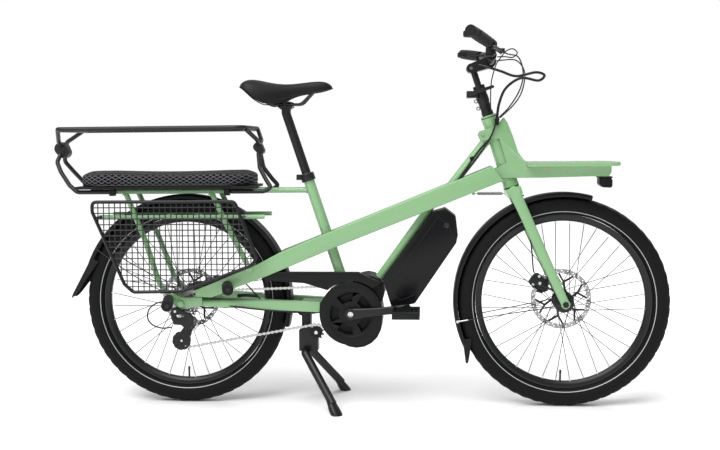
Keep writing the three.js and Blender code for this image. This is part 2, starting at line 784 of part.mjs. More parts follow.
function makeChainStays() {
  const bridge = block(
    stayFront[0] - bridgeLength, stayFront[0],
    -stayFrontSpread, stayFrontSpread,
    stayFront[1] - bridgeHeight / 2, stayFront[1] + bridgeHeight / 2,
  );
  const parts = [bridge];
  const near = rearHubWidth / 2;
  for (const side of [rightSide, leftSide]) {
    const outline = [
      ...arc(rearHub, dropoutRadius, quarterTurn, fullTurn - quarterTurn, 5),
      [stayRear[0] + stayHeight, stayRise(stayRear[0]) - stayHeight / 2 + overrun],
      [stayRear[0] + stayHeight, stayRise(stayRear[0]) + stayHeight / 2 - overrun],
    ];
    parts.push(staySolid(side), sideSlab(side, outline, near, near + dropoutThickness));
    const ear = linkOutline(rearHub, dropoutRadius, dropoutEar, strutEyeRadius, 4);
    parts.push(sideSlab(side, ear, near, near + dropoutThickness));
    parts.push(sideDrum(side, rearHub, axleNutRadius, near, near + dropoutThickness + axleNutLength, 6));
  }
  const [tabX, tabZ] = rearCalliperSpot;
  const tab = [
    [tabX - calliperLength / 2, stayRise(tabX)], [tabX + calliperLength / 2, stayRise(tabX)],
    [tabX + calliperLength / 4, tabZ], [tabX - calliperLength / 4, tabZ],
  ];
  parts.push(sideSlab(leftSide, tab, rearCalliperFace + gap, rearCalliperFace + gap + calliperTabThickness));
  parts.push(drum(rearHub, axleRadius, -near - overrun, near + overrun, 12));
  parts.push(sideDrum(rightSide, derailleurBolt, hangerRadius, near, near + dropoutThickness, 12));
  return join(...parts);
}

// Rack side frames
const cushionX = rearHub[0] - cushionMiddleBehind;
const cushionRear = cushionX - cushionLength / 2;
const cushionFront = cushionX + cushionLength / 2;
const rackRear = cushionRear + rackRearInset;
const rackFront = cushionFront + rackFrontReach;
const eyeSpread = rearHubWidth / 2 + dropoutThickness + gap + strutEyeThickness / 2;
const rackEyeFace = eyeSpread + rackStrutRadius + 2 * gap;
const rackSlope = (eyeSpread - rackRailSpread) / (rackRailHeight - dropoutEar[1]);
const rackSpreadAt = (z) => rackRailSpread + (rackRailHeight - z) * rackSlope;
const rackPoint = (side, x, z) => vector(x, side * rackSpreadAt(z), z);
const rearStrut = [
  [rearHub[0] - rearStrutTopBehind, rackRailHeight],
  [rearHub[0] - rearStrutKneeBehind, rearStrutKneeHeight],
  [rearHub[0] - rearStrutShinBehind, rearStrutShinHeight],
  dropoutEar,
];
const frontStrut = [
  [rearHub[0] + frontStrutTopAhead, rackRailHeight],
  [rearHub[0] + frontStrutKneeAhead, frontStrutKneeHeight],
  [rearHub[0] + frontStrutFootAhead, frontStrutFootHeight],
];

function rackStruts(side, grow = 0) {
  const path = (points) => points.map(([x, z]) => rackPoint(side, x, z));
  return join(
    pipe(path(rearStrut), rackStrutRadius + grow, strutBend, 7, 1),
    pipe(path(frontStrut), rackStrutRadius + grow, strutBend, 7, 1),
  );
}

const rackRail = (side, rear, height, radius) =>
  rod(rackPoint(side, rear, height), rackPoint(side, rackFront, height), radius, 7);

function makeRackFrame(side) {
  const topRail = rackRail(side, rackRear, rackRailHeight, rackRailRadius);
  const lowRail = rackRail(side, rackRear + hoopBend, rackLowerRailHeight, rackRailRadius);
  const earFace = eyeSpread - strutEyeThickness / 2;
  const rearEye = sideDrum(side, dropoutEar, strutEyeRadius, earFace, rackEyeFace - gap, 12);
  const foot = frontStrut[frontStrut.length - 1];
  const beamFace = beamSpreadAt(foot[0]) + beamWidth / 2;
  const outerFace = rackSpreadAt(foot[1]) + rackStrutRadius / 2;
  const frontEye = sideDrum(side, foot, strutEyeRadius, beamFace, outerFace, 12);
  const dropoutFace = sideDrum(side, dropoutEar, 2 * strutEyeRadius, 0, earFace, 12);
  return cut(join(topRail, lowRail, rearEye, frontEye, rackStruts(side)), beamSolid(side, gap), dropoutFace);
}

// Bench
const boardBottom = rackRailHeight + spineRadius + gap;
const cushionBottom = boardBottom + boardThickness + gap;
const makeSeatBoard = () => block(
  cushionRear + boardInset, cushionFront - boardInset,
  -cushionWidth / 2 + boardInset, cushionWidth / 2 - boardInset,
  boardBottom, boardBottom + boardThickness,
);

// Each level of the cushion: its size and its height as shares, and the share of the crown it has.
const cushionLevelShares = [
  [0.5, 0, 0], [0.97, 0, 0], [1, 0.14, 0], [0.985, 0.5, 0],
  [1, 0.84, 0], [0.96, 1, 0], [0.72, 1, 0.45], [0.4, 1, 0.85],
];
const cushionCornerShare = 0.42; // corner radius, of the width
const cushionDrawShare = 0.03; // how far the long sides draw in, of the width
const cushionCornerSteps = 4;

function cushionRing(size) {
  const half = [cushionLength / 2, cushionWidth / 2];
  const corner = cushionWidth * cushionCornerShare;
  const ring = [];
  const corners = [[1, 1], [-1, 1], [-1, -1], [1, -1]];
  for (const [i, [sx, sy]] of corners.entries()) {
    const from = i * quarterTurn;
    const centre = [sx * (half[0] - corner), sy * (half[1] - corner)];
    ring.push(...arc(centre, corner, from, from + quarterTurn, cushionCornerSteps));
    if (sx * sy > 0) {
      const drawn = sy * (half[1] - cushionWidth * cushionDrawShare);
      for (const share of [0.5, 0, -0.5]) ring.push([sx * share * half[0], drawn]);
    }
  }
  return ring.map(([x, y]) => [x * size, y * size]);
}

function makeCushion() {
  const rings = cushionLevelShares.map(([size, level, crown]) => cushionRing(size).map(([x, y]) =>
    [cushionX + x, y, cushionBottom + level * cushionHeight + crown * cushionCrown]));
  const count = rings[0].length;
  const points = rings.flat();
  points.push([cushionX, 0, cushionBottom], [cushionX, 0, cushionBottom + cushionHeight + cushionCrown]);
  const [low, high] = [points.length - 2, points.length - 1];
  const faces = [];
  for (let k = 0; k < count; k++) {
    const next = (k + 1) % count;
    faces.push([low, next, k]);
    for (let level = 0; level < rings.length - 1; level++) {
      const [a, b] = [level * count + k, level * count + next];
      faces.push([a, b, b + count], [a, b + count, a + count]);
    }
    const last = (rings.length - 1) * count;
    faces.push([last + k, last + next, high]);
  }
  return solidOf(facesOf(points, faces));
}

function facesOf(points, faces) {
  const geometry = new THREE.BufferGeometry();
  geometry.setAttribute('position', new THREE.Float32BufferAttribute(points.flat(), 3));
  geometry.setIndex(faces.flat());
  return geometry;
}

// Passenger rail
const hoopEnd = (end) => (end < 0 ? cushionRear - hoopRearReach : cushionFront - hoopFrontInset);
const makeHoop = (grow = 0) => ringPipe([
  vector(hoopEnd(-1), -hoopSpread, hoopHeight),
  vector(hoopEnd(1), -hoopSpread, hoopHeight),
  vector(hoopEnd(1), hoopSpread, hoopHeight),
  vector(hoopEnd(-1), hoopSpread, hoopHeight),
], hoopTubeRadius + grow, hoopBend, 8, 2);

const footSpread = rackRailSpread + rackRailRadius + gap + legTubeRadius;
// Leg routes below the couplings: [distance out from the hoop's end, spread, height]
const rearLegRoute = [
  [30, 16, 752], [36, 30, 730], [17, 48, 700], [-14, 62, 661],
  [-40, footSpread, rackRailHeight], [-141, footSpread, rackRailHeight],
];
const frontLegRoute = [
  [26, 16, 752], [32, 30, 708], [55, 50, 672], [72, 66, 650],
  [50, footSpread, rackRailHeight], [-46, footSpread, rackRailHeight],
];

function makeRailLegs(end, route, couplingOut, length) {
  const x = hoopEnd(end) + end * couplingOut;
  const coupling = block(
    x - length / 2, x + length / 2, -couplingWidth / 2, couplingWidth / 2,
    couplingMiddleHeight - couplingHeight / 2, couplingMiddleHeight + couplingHeight / 2,
  );
  const parts = [coupling];
  for (const side of [rightSide, leftSide]) {
    parts.push(pipe([
      vector(hoopEnd(end), side * (hoopSpread - hoopBend), hoopHeight),
      vector(x, side * couplingWidth, couplingMiddleHeight + couplingHeight / 2),
      vector(x, 0, couplingMiddleHeight),
    ], legTubeRadius, legTubeRadius * 2, 6, 1));
    const route3d = route.map(([out, spread, z]) => vector(hoopEnd(end) + end * out, side * spread, z));
    parts.push(pipe(route3d, legTubeRadius, legTubeRadius * 2, 7, 1));
  }
  return cut(join(...parts), makeHoop(gap));
}

// Net panel, on the right only
const netOutlineShares = [
  [0, 1], [0.872, 1], [1, 0.385], [0.973, 0.3], [0.543, 0.011], [0.245, 0], [0.19, 0.09], [0, 0.89],
]; // of the length and the height
const netRear = rackRear + netRearInset;
const netLength = rackFront - netFrontInset - netRear;
const netBottom = netTopHeight - netHeight;
const netOutline = netOutlineShares.map(([along, up]) =>
  [netRear + along * netLength, netBottom + up * netHeight]);
const netArms = [
  [rackRear + netRearArmInset, rackLowerRailHeight],
  [rackFront - netFrontArmInset, rackLowerRailHeight],
  [rearHub[0] - netLowArmBehind, netBottom],
];

// Where a straight line crosses the net's outline; axis 0 gives heights at an x, axis 1 gives x at a height.
function netCrossings(axis, value) {
  const found = [];
  netOutline.forEach((start, i) => {
    const end = netOutline[(i + 1) % netOutline.length];
    if ((start[axis] - value) * (end[axis] - value) >= 0) return;
    const share = (value - start[axis]) / (end[axis] - start[axis]);
    found.push(start[1 - axis] + (end[1 - axis] - start[1 - axis]) * share);
  });
  return found.sort((a, b) => a - b);
}

function makeNetPanel(side) {
  const corners = netOutline.map((point) => at(point, side * netSpread));
  const parts = [ringPipe(corners, netTubeRadius, 3 * netTubeRadius, 6, 2)];
  for (const axis of [0, 1]) {
    const [near, far] = axis
      ? [netSpread + gap / 3, netSpread + 2 * netWireRadius]
      : [netSpread - 2 * netWireRadius, netSpread - gap / 3];
    const [from, length] = axis ? [netBottom, netHeight] : [netRear, netLength];
    const count = Math.round(length / netPitch);
    for (let k = 1; k < count; k++) {
      const value = from + length * k / count;
      const ends = netCrossings(axis, value);
      if (ends.length < 2) continue;
      const [low, high] = [value - netWireRadius, value + netWireRadius];
      const outline = [[low, ends[0]], [high, ends[0]], [high, ends[1]], [low, ends[1]]];
      parts.push(sideSlab(side, axis ? outline.map(([a, b]) => [b, a]) : outline, near, far));
    }
  }
  for (const [x, z] of netArms) {
    parts.push(sideDrum(side, [x, z], netArmRadius, rackSpreadAt(z), netSpread, 8));
  }
  const rail = rackRail(side, rackRear, rackLowerRailHeight, rackRailRadius + 2 * gap);
  return cut(join(...parts), rail, rackStruts(side, gap));
}

// Fenders
function makeFender(hub, [from, to], flapLength, flapFlare, bosses) {
  const band = (outer, inner, half) => slab(
    [...arc(hub, outer, from, to, fenderSteps), ...arc(hub, inner, to, from, fenderSteps)], -half, half,
  );
  const inner = fenderRadius - fenderThickness;
  const half = fenderWidth / 2;
  const shell = cut(
    band(fenderRadius, fenderRadius - fenderSkirt, half),
    slab(
      [...arc(hub, inner, from - 1, to + 1, fenderSteps), hub],
      -half + fenderThickness, half - fenderThickness,
    ),
  );
  const end = to * degree;
  const way = end - flapFlare * degree;
  const along = [-Math.sin(way), Math.cos(way)];
  const across = [along[1], -along[0]];
  const root = [hub[0] + (inner - overrun) * Math.cos(end), hub[1] + (inner - overrun) * Math.sin(end)];
  const corner = (run, rise) => [0, 1].map((i) => root[i] + along[i] * run + across[i] * rise);
  const thick = flapThickness;
  const outline = [
    corner(-thick, 0), corner(flapLength, 0), corner(flapLength, thick), corner(-thick, thick),
  ];
  const skirt = [
    corner(-thick, -flapSkirt), corner(flapLength, 0), corner(flapLength, thick), corner(-thick, thick),
  ];
  return join(
    shell, slab(outline, -half, half), slab(skirt, -half, -half + fenderThickness),
    slab(skirt, half - fenderThickness, half), ...bosses,
  );
}

// Rear wheel, front wheel
const rotorInner = hubShellRadius + gap;
const frontHubEnd = forkLegSpread - forkLegThickness / 2 - gap;
const rearHubEnd = rearHubWidth / 2 - gap;
const cassetteEnd = chainPlane - largerCogCount * cogSpacing - cogThickness;
const tyreHalfShares = [[0, 0.5], [0.48, 1], [0.84, 0.82], [1, 0.3]];
const spokeLeanAngle = 48;

function makeTyre(hub) {
  const depth = wheelRadius - tyreInnerRadius;
  const half = tyreHalfShares.map(([up, out]) => [tyreInnerRadius + up * depth, out * tyreWidth / 2]);
  const mirrored = half.map(([radius, y]) => [radius, -y]).reverse();
  return turned([...half, ...mirrored], wheelSegments, hub);
}

function makeWheel(hub, flangeSpread, right, left) {
  const rimOuter = tyreInnerRadius - gap;
  const rimInner = rimOuter - rimDepth;
  const rim = turned([
    [rimInner, -rimWidth / 4], [rimOuter, -rimWidth / 2], [rimOuter, rimWidth / 2], [rimInner, rimWidth / 4],
  ], wheelSegments, hub);
  const parts = [rim, drum(hub, hubShellRadius, -right, left)];
  for (const side of [rightSide, leftSide]) {
    const flangeY = side * flangeSpread / 2;
    const near = flangeY - hubFlangeThickness / 2;
    parts.push(drum(hub, hubFlangeRadius, near, near + hubFlangeThickness));
    for (let k = 0; k < spokeCount / 2; k++) {
      const turn = fullTurn * (k + side / 4) / (spokeCount / 2);
      const lean = k % 2 ? spokeLeanAngle : -spokeLeanAngle;
      const [root] = arc(hub, hubFlangeRadius - 3 * spokeRadius, turn + lean, turn + lean, 1);
      const [tip] = arc(hub, rimInner + rimDepth / 4, turn, turn, 1);
      const shift = (k % 2 ? 1 : -1) * (hubFlangeThickness / 2 - gap);
      parts.push(rod(at(root, flangeY + shift), at(tip, side * 2 * spokeRadius + shift / 2), spokeRadius, 3));
    }
  }
  return cut(join(...parts), drum(hub, axleRadius + gap, -right - overrun, left + overrun));
}

function makeRotor(hub) {
  const [near, far] = [rotorOffset - rotorThickness / 2, rotorOffset + rotorThickness / 2];
  const band = cut(
    drum(hub, rotorRadius, near, far, 20),
    drum(hub, rotorRadius - rotorBand, near - overrun, far + overrun, 20),
  );
  const parts = [band, drum(hub, rotorHubRadius, near, far)];
  for (let k = 0; k < rotorArmCount; k++) {
    const turn = fullTurn * k / rotorArmCount;
    const half = rotorArmWidth / 2 / rotorHubRadius / degree;
    const outer = half * rotorHubRadius / rotorRadius;
    const rim = rotorRadius - rotorBand / 2;
    const lean = 2 * half;
    parts.push(slab([
      ...arc(hub, rotorHubRadius - overrun, turn - half, turn + half, 1),
      ...arc(hub, rim, turn + outer + lean, turn - outer + lean, 1),
    ], near, far));
  }
  return cut(join(...parts), drum(hub, rotorInner, near - overrun, far + overrun));
}

function makeCassette() {
  const parts = [sideDrum(rightSide, rearHub, cassetteCoreRadius, cassetteEnd, rearHubEnd)];
  const cog = (radius, place) =>
    parts.push(sideDrum(rightSide, rearHub, radius, place - cogThickness / 2, place + cogThickness / 2, 12));
  cog(underChain(cogPitchRadius), chainPlane);
  for (let k = 1; k <= largerCogCount; k++) {
    cog(cogPitchRadius + k * cogRadiusStep, chainPlane - k * cogSpacing);
  }
  for (let k = 1; k <= smallerCogCount; k++) {
    cog(cogPitchRadius - k * cogRadiusStep * smallerStepShare, chainPlane + k * cogSpacing);
  }
  return cut(join(...parts), sideDrum(rightSide, rearHub, axleRadius + gap, 0, rearHubWidth));
}

// Chain: circles that it runs round, with +1 for a turn to the left along its way
const idlerDistance = chainringPitchRadius + idlerPitchRadius + idlerGap;
const idlerCentre = [
  bracket[0] - idlerDistance * Math.cos(idlerAngle * degree),
  bracket[1] - idlerDistance * Math.sin(idlerAngle * degree),
];
const upperPulley = [rearHub[0] + upperPulleyAhead, rearHub[1] - upperPulleyDrop];
const lowerPulley = [rearHub[0] + lowerPulleyAhead, rearHub[1] - lowerPulleyDrop];
const chainCircles = [
  [bracket, chainringPitchRadius, 1], [rearHub, cogPitchRadius, 1], [upperPulley, upperPulleyPitchRadius, -1],
  [lowerPulley, lowerPulleyPitchRadius, 1], [idlerCentre, idlerPitchRadius, -1],
];
const chainStepAngle = 20;

// How large a wheel fits under the chain's straight steps
const chainFlat = Math.cos(chainStepAngle / 2 * degree);
const underChain = (pitchRadius) => (pitchRadius - chainHeight / 2) * chainFlat - gap;

// The chain's run, set off to the left of its way.
function chainOutline(offset) {
  const count = chainCircles.length;
  const headings = chainCircles.map(([from, radius, turn], i) => {
    const [to, nextRadius, nextTurn] = chainCircles[(i + 1) % count];
    const [dx, dz] = [to[0] - from[0], to[1] - from[1]];
    const lean = Math.asin((turn * radius - nextTurn * nextRadius) / Math.hypot(dx, dz));
    return (Math.atan2(dz, dx) + lean) / degree;
  });
  return chainCircles.flatMap(([centre, radius, turn], i) => {
    const start = headings[(i + count - 1) % count];
    const sweep = ((((headings[i] - start) * turn) % fullTurn) + fullTurn) % fullTurn;
    const from = start - turn * quarterTurn;
    const steps = Math.ceil(sweep / chainStepAngle);
    return arc(centre, radius - turn * offset, from, from + turn * sweep, steps);
  });
}

const makeChain = () => sideSlab(
  rightSide, chainOutline(-chainHeight / 2), chainPlane - chainWidth / 2, chainPlane + chainWidth / 2,
  [chainOutline(chainHeight / 2)],
);

function makeIdler() {
  const radius = underChain(idlerPitchRadius);
  const half = pulleyThickness / 2;
  return cut(
    join(
      sideDrum(rightSide, idlerCentre, radius, chainPlane - half, chainPlane + half, 16),
      sideDrum(
        rightSide, idlerCentre, 2 * pulleyAxleRadius, chainPlane - 2 * half, chainPlane + 2 * half, 12,
      ),
    ),
    sideDrum(rightSide, idlerCentre, pulleyAxleRadius + gap, 0, 2 * chainPlane, 12),
  );
}

function makeDerailleur() {
  const [inner, outer] = [chainPlane - chainWidth / 2 - gap, chainPlane + chainWidth / 2 + gap];
  const side = rightSide;
  const pulley = (centre, pitchRadius) => join(
    sideDrum(
      side, centre, underChain(pitchRadius),
      chainPlane - pulleyThickness / 2, chainPlane + pulleyThickness / 2, 12,
    ),
    sideDrum(side, centre, pulleyAxleRadius, inner - cageThickness, outer + cageThickness, 8),
  );
  const cage = linkOutline(upperPulley, cageRadius, lowerPulley, cageRadius, 3);
  const face = rearHubWidth / 2 + dropoutThickness + gap;
  const end = face + derailleurBodyThickness;
  const arm = linkOutline(derailleurBolt, derailleurArmRadius, upperPulley, derailleurArmRadius, 4);
  return join(
    pulley(upperPulley, upperPulleyPitchRadius),
    pulley(lowerPulley, lowerPulleyPitchRadius),
    sideSlab(side, cage, inner - cageThickness, inner),
    sideSlab(side, cage, outer, outer + cageThickness),
    sideDrum(side, upperPulley, derailleurArmRadius - gap, outer, end, 10),
    sideSlab(side, arm, face, end),
  );
}

// Crank set
const pedalSpot = (side) => {
  const angle = crankAngle + (side === rightSide ? 0 : 2 * quarterTurn);
  return arc(bracket, crankLength, angle, angle, 1)[0];
};
const pedalFace = crankInnerFace + crankThickness + pedalAxleGap;

function makeCrank(side) {
  const spot = pedalSpot(side);
  const arm = linkOutline(bracket, crankRootHeight / 2, spot, crankTipHeight / 2, 5);
  return join(
    sideSlab(side, arm, crankInnerFace, crankInnerFace + crankThickness),
    sideDrum(side, spot, pedalAxleRadius, crankInnerFace, pedalFace + pedalWidth - pedalRail, 10),
  );
}

const guardWindowShares = [0.42, 0.84]; // inner and outer radius of the windows
const guardWindowSpanShare = 0.74;

function makeRightCrank() {
  const ringOuter = underChain(chainringPitchRadius);
  const guardFace = crankInnerFace - gap - guardThickness;
  const half = pulleyThickness / 2;
  const discs = join(
    sideDrum(rightSide, bracket, ringOuter, chainPlane - half, chainPlane + half, 20),
    sideDrum(rightSide, bracket, guardRadius, guardFace, guardFace + guardThickness, 24),
  );
  const windows = [];
  for (let k = 0; k < guardWindowCount; k++) {
    const turn = fullTurn * k / guardWindowCount;
    const span = fullTurn / guardWindowCount * guardWindowSpanShare;
    const [inner, outer] = guardWindowShares.map((share) => share * ringOuter);
    windows.push(sideSlab(rightSide, [
      ...arc(bracket, outer, turn, turn + span, 2), ...arc(bracket, inner, turn + span, turn, 1),
    ], 0, crankInnerFace));
  }
  const boss = sideDrum(rightSide, bracket, crankRootHeight / 2, chainPlane - half, crankInnerFace + overrun);
  const spindle = drum(bracket, spindleRadius, -crankInnerFace, crankInnerFace - gap);
  return join(cut(discs, ...windows), boss, spindle, makeCrank(rightSide));
}

function makePedal(side) {
  const spot = pedalSpot(side);
  const [near, far] = [pedalFace, pedalFace + pedalWidth];
  const box = (halfLength, halfHeight, y0, y1) => sideSlab(side, [
    [spot[0] - halfLength, spot[1] - halfHeight], [spot[0] + halfLength, spot[1] - halfHeight],
    [spot[0] + halfLength, spot[1] + halfHeight], [spot[0] - halfLength, spot[1] + halfHeight],
  ], y0, y1);
  const body = box(pedalLength / 2, pedalThickness / 2, near, far);
  const windows = [-1, 1].map((end) => {
    const centre = spot[0] + end * (pedalLength / 2 + pedalAxleRadius) / 2;
    const half = (pedalLength / 2 - pedalAxleRadius - pedalRail) / 2 - pedalRail / 4;
    const outline = [
      [centre - half, spot[1] - pedalThickness], [centre + half, spot[1] - pedalThickness],
      [centre + half, spot[1] + pedalThickness], [centre - half, spot[1] + pedalThickness],
    ];
    return sideSlab(side, outline, near + pedalRail, far - pedalRail);
  });
  const bore = sideDrum(side, spot, pedalAxleRadius + gap, near - overrun, far - pedalRail + gap, 12);
  return cut(body, ...windows, bore);
}

// Motor
function makeMotor() {
  const [near, far] = [-motorHalfWidthRight, motorHalfWidthLeft];
  const belly = [bracket[0] + motorBellyAhead, bracket[1] - motorBellyDrop];
  const nose = [bracket[0] + motorNoseAhead, bracket[1] + motorNoseRise];
  const body = join(
    drum(bracket, motorRadius, near, far, 24), drum(belly, motorBellyRadius, near, far, 20),
    drum(nose, motorNoseRadius, near, far, 16),
  );
  const bridge = block(
    stayFront[0] - bridgeLength, stayFront[0] + gap, -stayFrontSpread, stayFrontSpread,
    stayFront[1] - bridgeHeight / 2 - gap, stayFront[1] + bridgeHeight / 2 + gap,
  );
  return cut(
    body, bridge, staySolid(rightSide, gap), staySolid(leftSide, gap),
    rod(at(downTubeBottom), at(downTubeTop), downTubeRadius + gap, 12),
    rod(at(seatPoint(seatTubeStart - gap)), at(seatPoint(seatTubeEnd)), seatTubeRadius + gap, 16),
    drum(bracket, spindleRadius + 3 * gap, near - overrun, far + overrun),
  );
}

// Battery: shares along the down tube and ahead of it
const batteryOutlineShares = [
  [0.888, 0.096], [1, 0.293], [0.997, 0.589], [0.858, 0.871], [0.78, 0.951],
  [0.02, 1], [-0.081, 0.796], [-0.148, 0.593], [0.025, 0.082],
];

function makeBattery() {
  const run = Math.hypot(downTubeTop[0] - downTubeBottom[0], downTubeTop[1] - downTubeBottom[1]);
  const [ux, uz] = [(downTubeTop[0] - downTubeBottom[0]) / run, (downTubeTop[1] - downTubeBottom[1]) / run];
  const outline = batteryOutlineShares.map(([along, ahead]) => [
    downTubeBottom[0] + ux * along * batteryLength + uz * ahead * batteryDepth,
    downTubeBottom[1] + uz * along * batteryLength - ux * ahead * batteryDepth,
  ]);
  return cut(
    slab(outline, -batteryWidth / 2, batteryWidth / 2),
    rod(at(downTubeBottom), at(downTubeTop), downTubeRadius + gap, 12),
  );
}

function makeChainGuard() {
  const [x, z] = [bracket[0] + chainGuardFront, bracket[1] + chainGuardTop];
  const inner = chainringPitchRadius + chainHeight / 2 + chainGuardClearance;
  const outline = [
    [x - chainGuardLength, z], [x - chainGuardHeight * 2, z], [x, z - chainGuardHeight + overrun],
    ...arc(bracket, inner, ...chainGuardAngles, chainGuardSteps),
    [bracket[0] - chainGuardLength / 2 + chainGuardHeight, z - chainGuardHeight],
    [x - chainGuardLength, z - chainGuardHeight * 3 / 4],
  ];
  const face = crankInnerFace - chainGuardThickness - 3 * gap;
  const over = beamOutline.map(([px, pz], i) => [px, pz + (i < beamTopShares.length ? beamHeight : -gap)]);
  const rear = x - chainGuardLength - overrun;
  const underLip = [
    [rear, 0], [x + overrun, 0],
    [x + overrun, z - chainGuardHeight + overrun], [rear, z - chainGuardHeight + overrun],
  ];
  return cut(
    sideSlab(rightSide, outline, face, face + chainGuardThickness),
    sideSlab(rightSide, underLip, 0, chainPlane + chainWidth / 2 + overrun),
    sideSlab(rightSide, over, 0, crankInnerFace + overrun),
    rod(at(seatPoint(seatTubeStart)), at(seatPoint(seatTubeEnd)), seatTubeRadius + gap, 16),
  );
}

// Kickstand
const standPivot = [bracket[0] - standPivotBehind, bracket[1] - standPivotDrop];
const bridgeBottom = stayFront[1] - bridgeHeight / 2;

function makeStandBracket() {
  const half = standBracketWidth / 2;
  const rear = stayFront[0] - bridgeLength;
  const neck = block(
    rear, rear + standNeckLength, -half, half,
    standPivot[1] + standBodyHeight / 2, bridgeBottom - gap,
  );
  const body = block(
    rear - standNeckLength / 3, rear - standNeckLength / 3 + standBodyLength, -half, half,
    standPivot[1], standPivot[1] + standBodyHeight,
  );
  return cut(
    join(
      neck, body, drum(standPivot, standPivotRadius, -half, half, 16),
      sideDrum(rightSide, idlerCentre, 3 * pulleyAxleRadius, 0, half, 12),
      sideDrum(rightSide, idlerCentre, pulleyAxleRadius, 0, chainPlane + 2 * pulleyThickness, 10),
    ),
    drum(standPivot, standPinRadius + gap, -half - overrun, half + overrun, 14),
  );
}

function makeStand() {
  const hip = standHipSpread;
  const parts = [drum(standPivot, standPinRadius, -hip, hip, 14)];
  const foot = [standPivot[0] + standFootAhead, standFootHeight / 2];
  for (const side of [rightSide, leftSide]) {
    parts.push(pipe([
      at(standPivot, side * (hip - standLegRadius)), at(standPivot, side * (hip + standLegRadius)),
      at(foot, side * standFootSpread),
    ], standLegRadius, standLegRadius * 1.5, 8, 1));
    const base = vector(foot[0], side * standFootSpread, 0);
    const top = vector(foot[0], side * standFootSpread, standFootHeight);
    parts.push(rod(base, top, standFootRadius, 14, standLegRadius));
  }
  return cut(join(...parts), block(foot[0] - standFootAhead, foot[0] + standFootAhead,
    -standFootSpread * 2, standFootSpread * 2, -standFootSpread, 0));
}

// Pegs
function makePeg(side, [x, z], face) {
  const start = vector(x, side * (face - pegRadius), z);
  const end = vector(x + pegSweep, side * (face + pegLength), z);
  const [x0, x1, high] = [x - wheelRadius, x + wheelRadius, wheelbase];
  const inner = [[x0, 0], [x1, 0], [x1, high], [x0, high]];
  return cut(rod(start, end, pegRadius, 14), sideSlab(side, inner, 0, face), beamSolid(side, gap));
}
const beamInnerAtPeg = beamRearSpread - beamWidth / 2;
const frontPeg = [rearHub[0] + frontPegAhead, rearHub[1] + frontPegRise];
const rearPeg = [rearHub[0] - rearPegBehind, rearHub[1] + rearPegRise];

// Saddle and post
const postTop = seatPoint(postTopDistance);
const railHeight = postTop[1] + postHeadRise;
const saddleTop = postTop[1] + saddleTopRise;
// Stations from the nose: shares of the length, of the half width,
// and of the height down to the top and to the rim
const saddleShares = [
  [0, 0.1, 0.3, 0.4], [0.05, 0.2, 0.15, 0.45], [0.14, 0.25, 0.1, 0.52], [0.28, 0.3, 0.14, 0.58],
  [0.43, 0.45, 0.2, 0.66], [0.56, 0.7, 0.2, 0.88], [0.69, 0.92, 0.13, 1], [0.81, 1, 0.03, 0.82],
  [0.92, 0.95, 0, 0.5], [0.98, 0.75, 0.12, 0.36], [1, 0.5, 0.2, 0.32],
];
// Points across the padding's top, from the middle: shares of the half width and of the drop to the rim
const saddleCrossShares = [[0, 0], [0.55, 0.08], [0.93, 0.45], [1, 1]];
// Points of either rail, from the nose: shares of the length, of the rails' spread and of their rise
const saddleRailShares = [[0.16, 0.5, 1], [0.34, 1, 0], [0.68, 1, 0], [0.88, 1.5, 1]];

function makeSaddle() {
  const nose = postTop[0] + saddleNoseAhead;
  const rings = saddleShares.map(([along, wide, top, rim]) => {
    const x = nose - along * saddleLength;
    const half = wide * saddleWidth / 2;
    const [high, low] = [saddleTop - top * saddleHeight, saddleTop - rim * saddleHeight];
    const over = saddleCrossShares.map(([out, down]) => [x, out * half, high - down * (high - low)]);
    const ceiling = Math.max(low, high - saddleShell);
    const under = [[x, 0.8 * half, low], [x, 0.6 * half, (low + ceiling) / 2], [x, 0, ceiling]];
    const right = [...over, ...under];
    const left = right.slice(1, -1).map(([px, y, z]) => [px, -y, z]).reverse();
    return [...right, ...left];
  });
  const count = rings[0].length;
  const points = rings.flat();
  const faces = [];
  for (let k = 0; k < count; k++) {
    const next = (k + 1) % count;
    for (let level = 0; level < rings.length - 1; level++) {
      const [a, b] = [level * count + k, level * count + next];
      faces.push([a, b, b + count], [a, b + count, a + count]);
    }
  }
  const last = (rings.length - 1) * count;
  for (const [start, flip] of [[0, false], [last, true]]) {
    for (let k = 0; k < count / 2; k++) {
      const [p, q, r, t] = [k, k + 1, (count - k - 1) % count, (count - k) % count].map((i) => start + i);
      faces.push(flip ? [p, q, r] : [r, q, p]);
      if (k > 0) faces.push(flip ? [p, r, t] : [t, r, p]);
    }
  }
  const shell = solidOf(facesOf(points, faces));
  const rails = [rightSide, leftSide].map((side) => pipe([
    ...saddleRailShares.map(([along, spread, rise]) => vector(
      nose - along * saddleLength, side * spread * saddleRailSpread, railHeight + rise * saddleRailDip,
    )),
  ], saddleRailRadius, 4 * saddleRailRadius, 6, 1));
  return join(shell, ...rails);
}

function makePost() {
  const half = saddleRailSpread + 1.5 * saddleRailRadius;
  const head = block(
    postTop[0] - clampLength / 2, postTop[0] + clampLength / 2, -half, half,
    railHeight - clampHeight / 2, railHeight + clampHeight / 2,
  );
  const neck = rod(at(postTop), at([postTop[0], railHeight]), postRadius, 12);
  const [foot, top] = [seatPoint(postTopDistance - postLength), seatPoint(postTopDistance + overrun)];
  const tube = rod(at(foot), at(top), postRadius, 12);
  const grooves = [rightSide, leftSide].map((side) => rod(
    vector(postTop[0] - clampLength, side * saddleRailSpread, railHeight),
    vector(postTop[0] + clampLength, side * saddleRailSpread, railHeight), saddleRailRadius + 3 * gap, 6,
  ));
  return cut(join(tube, neck, head), ...grooves);
}

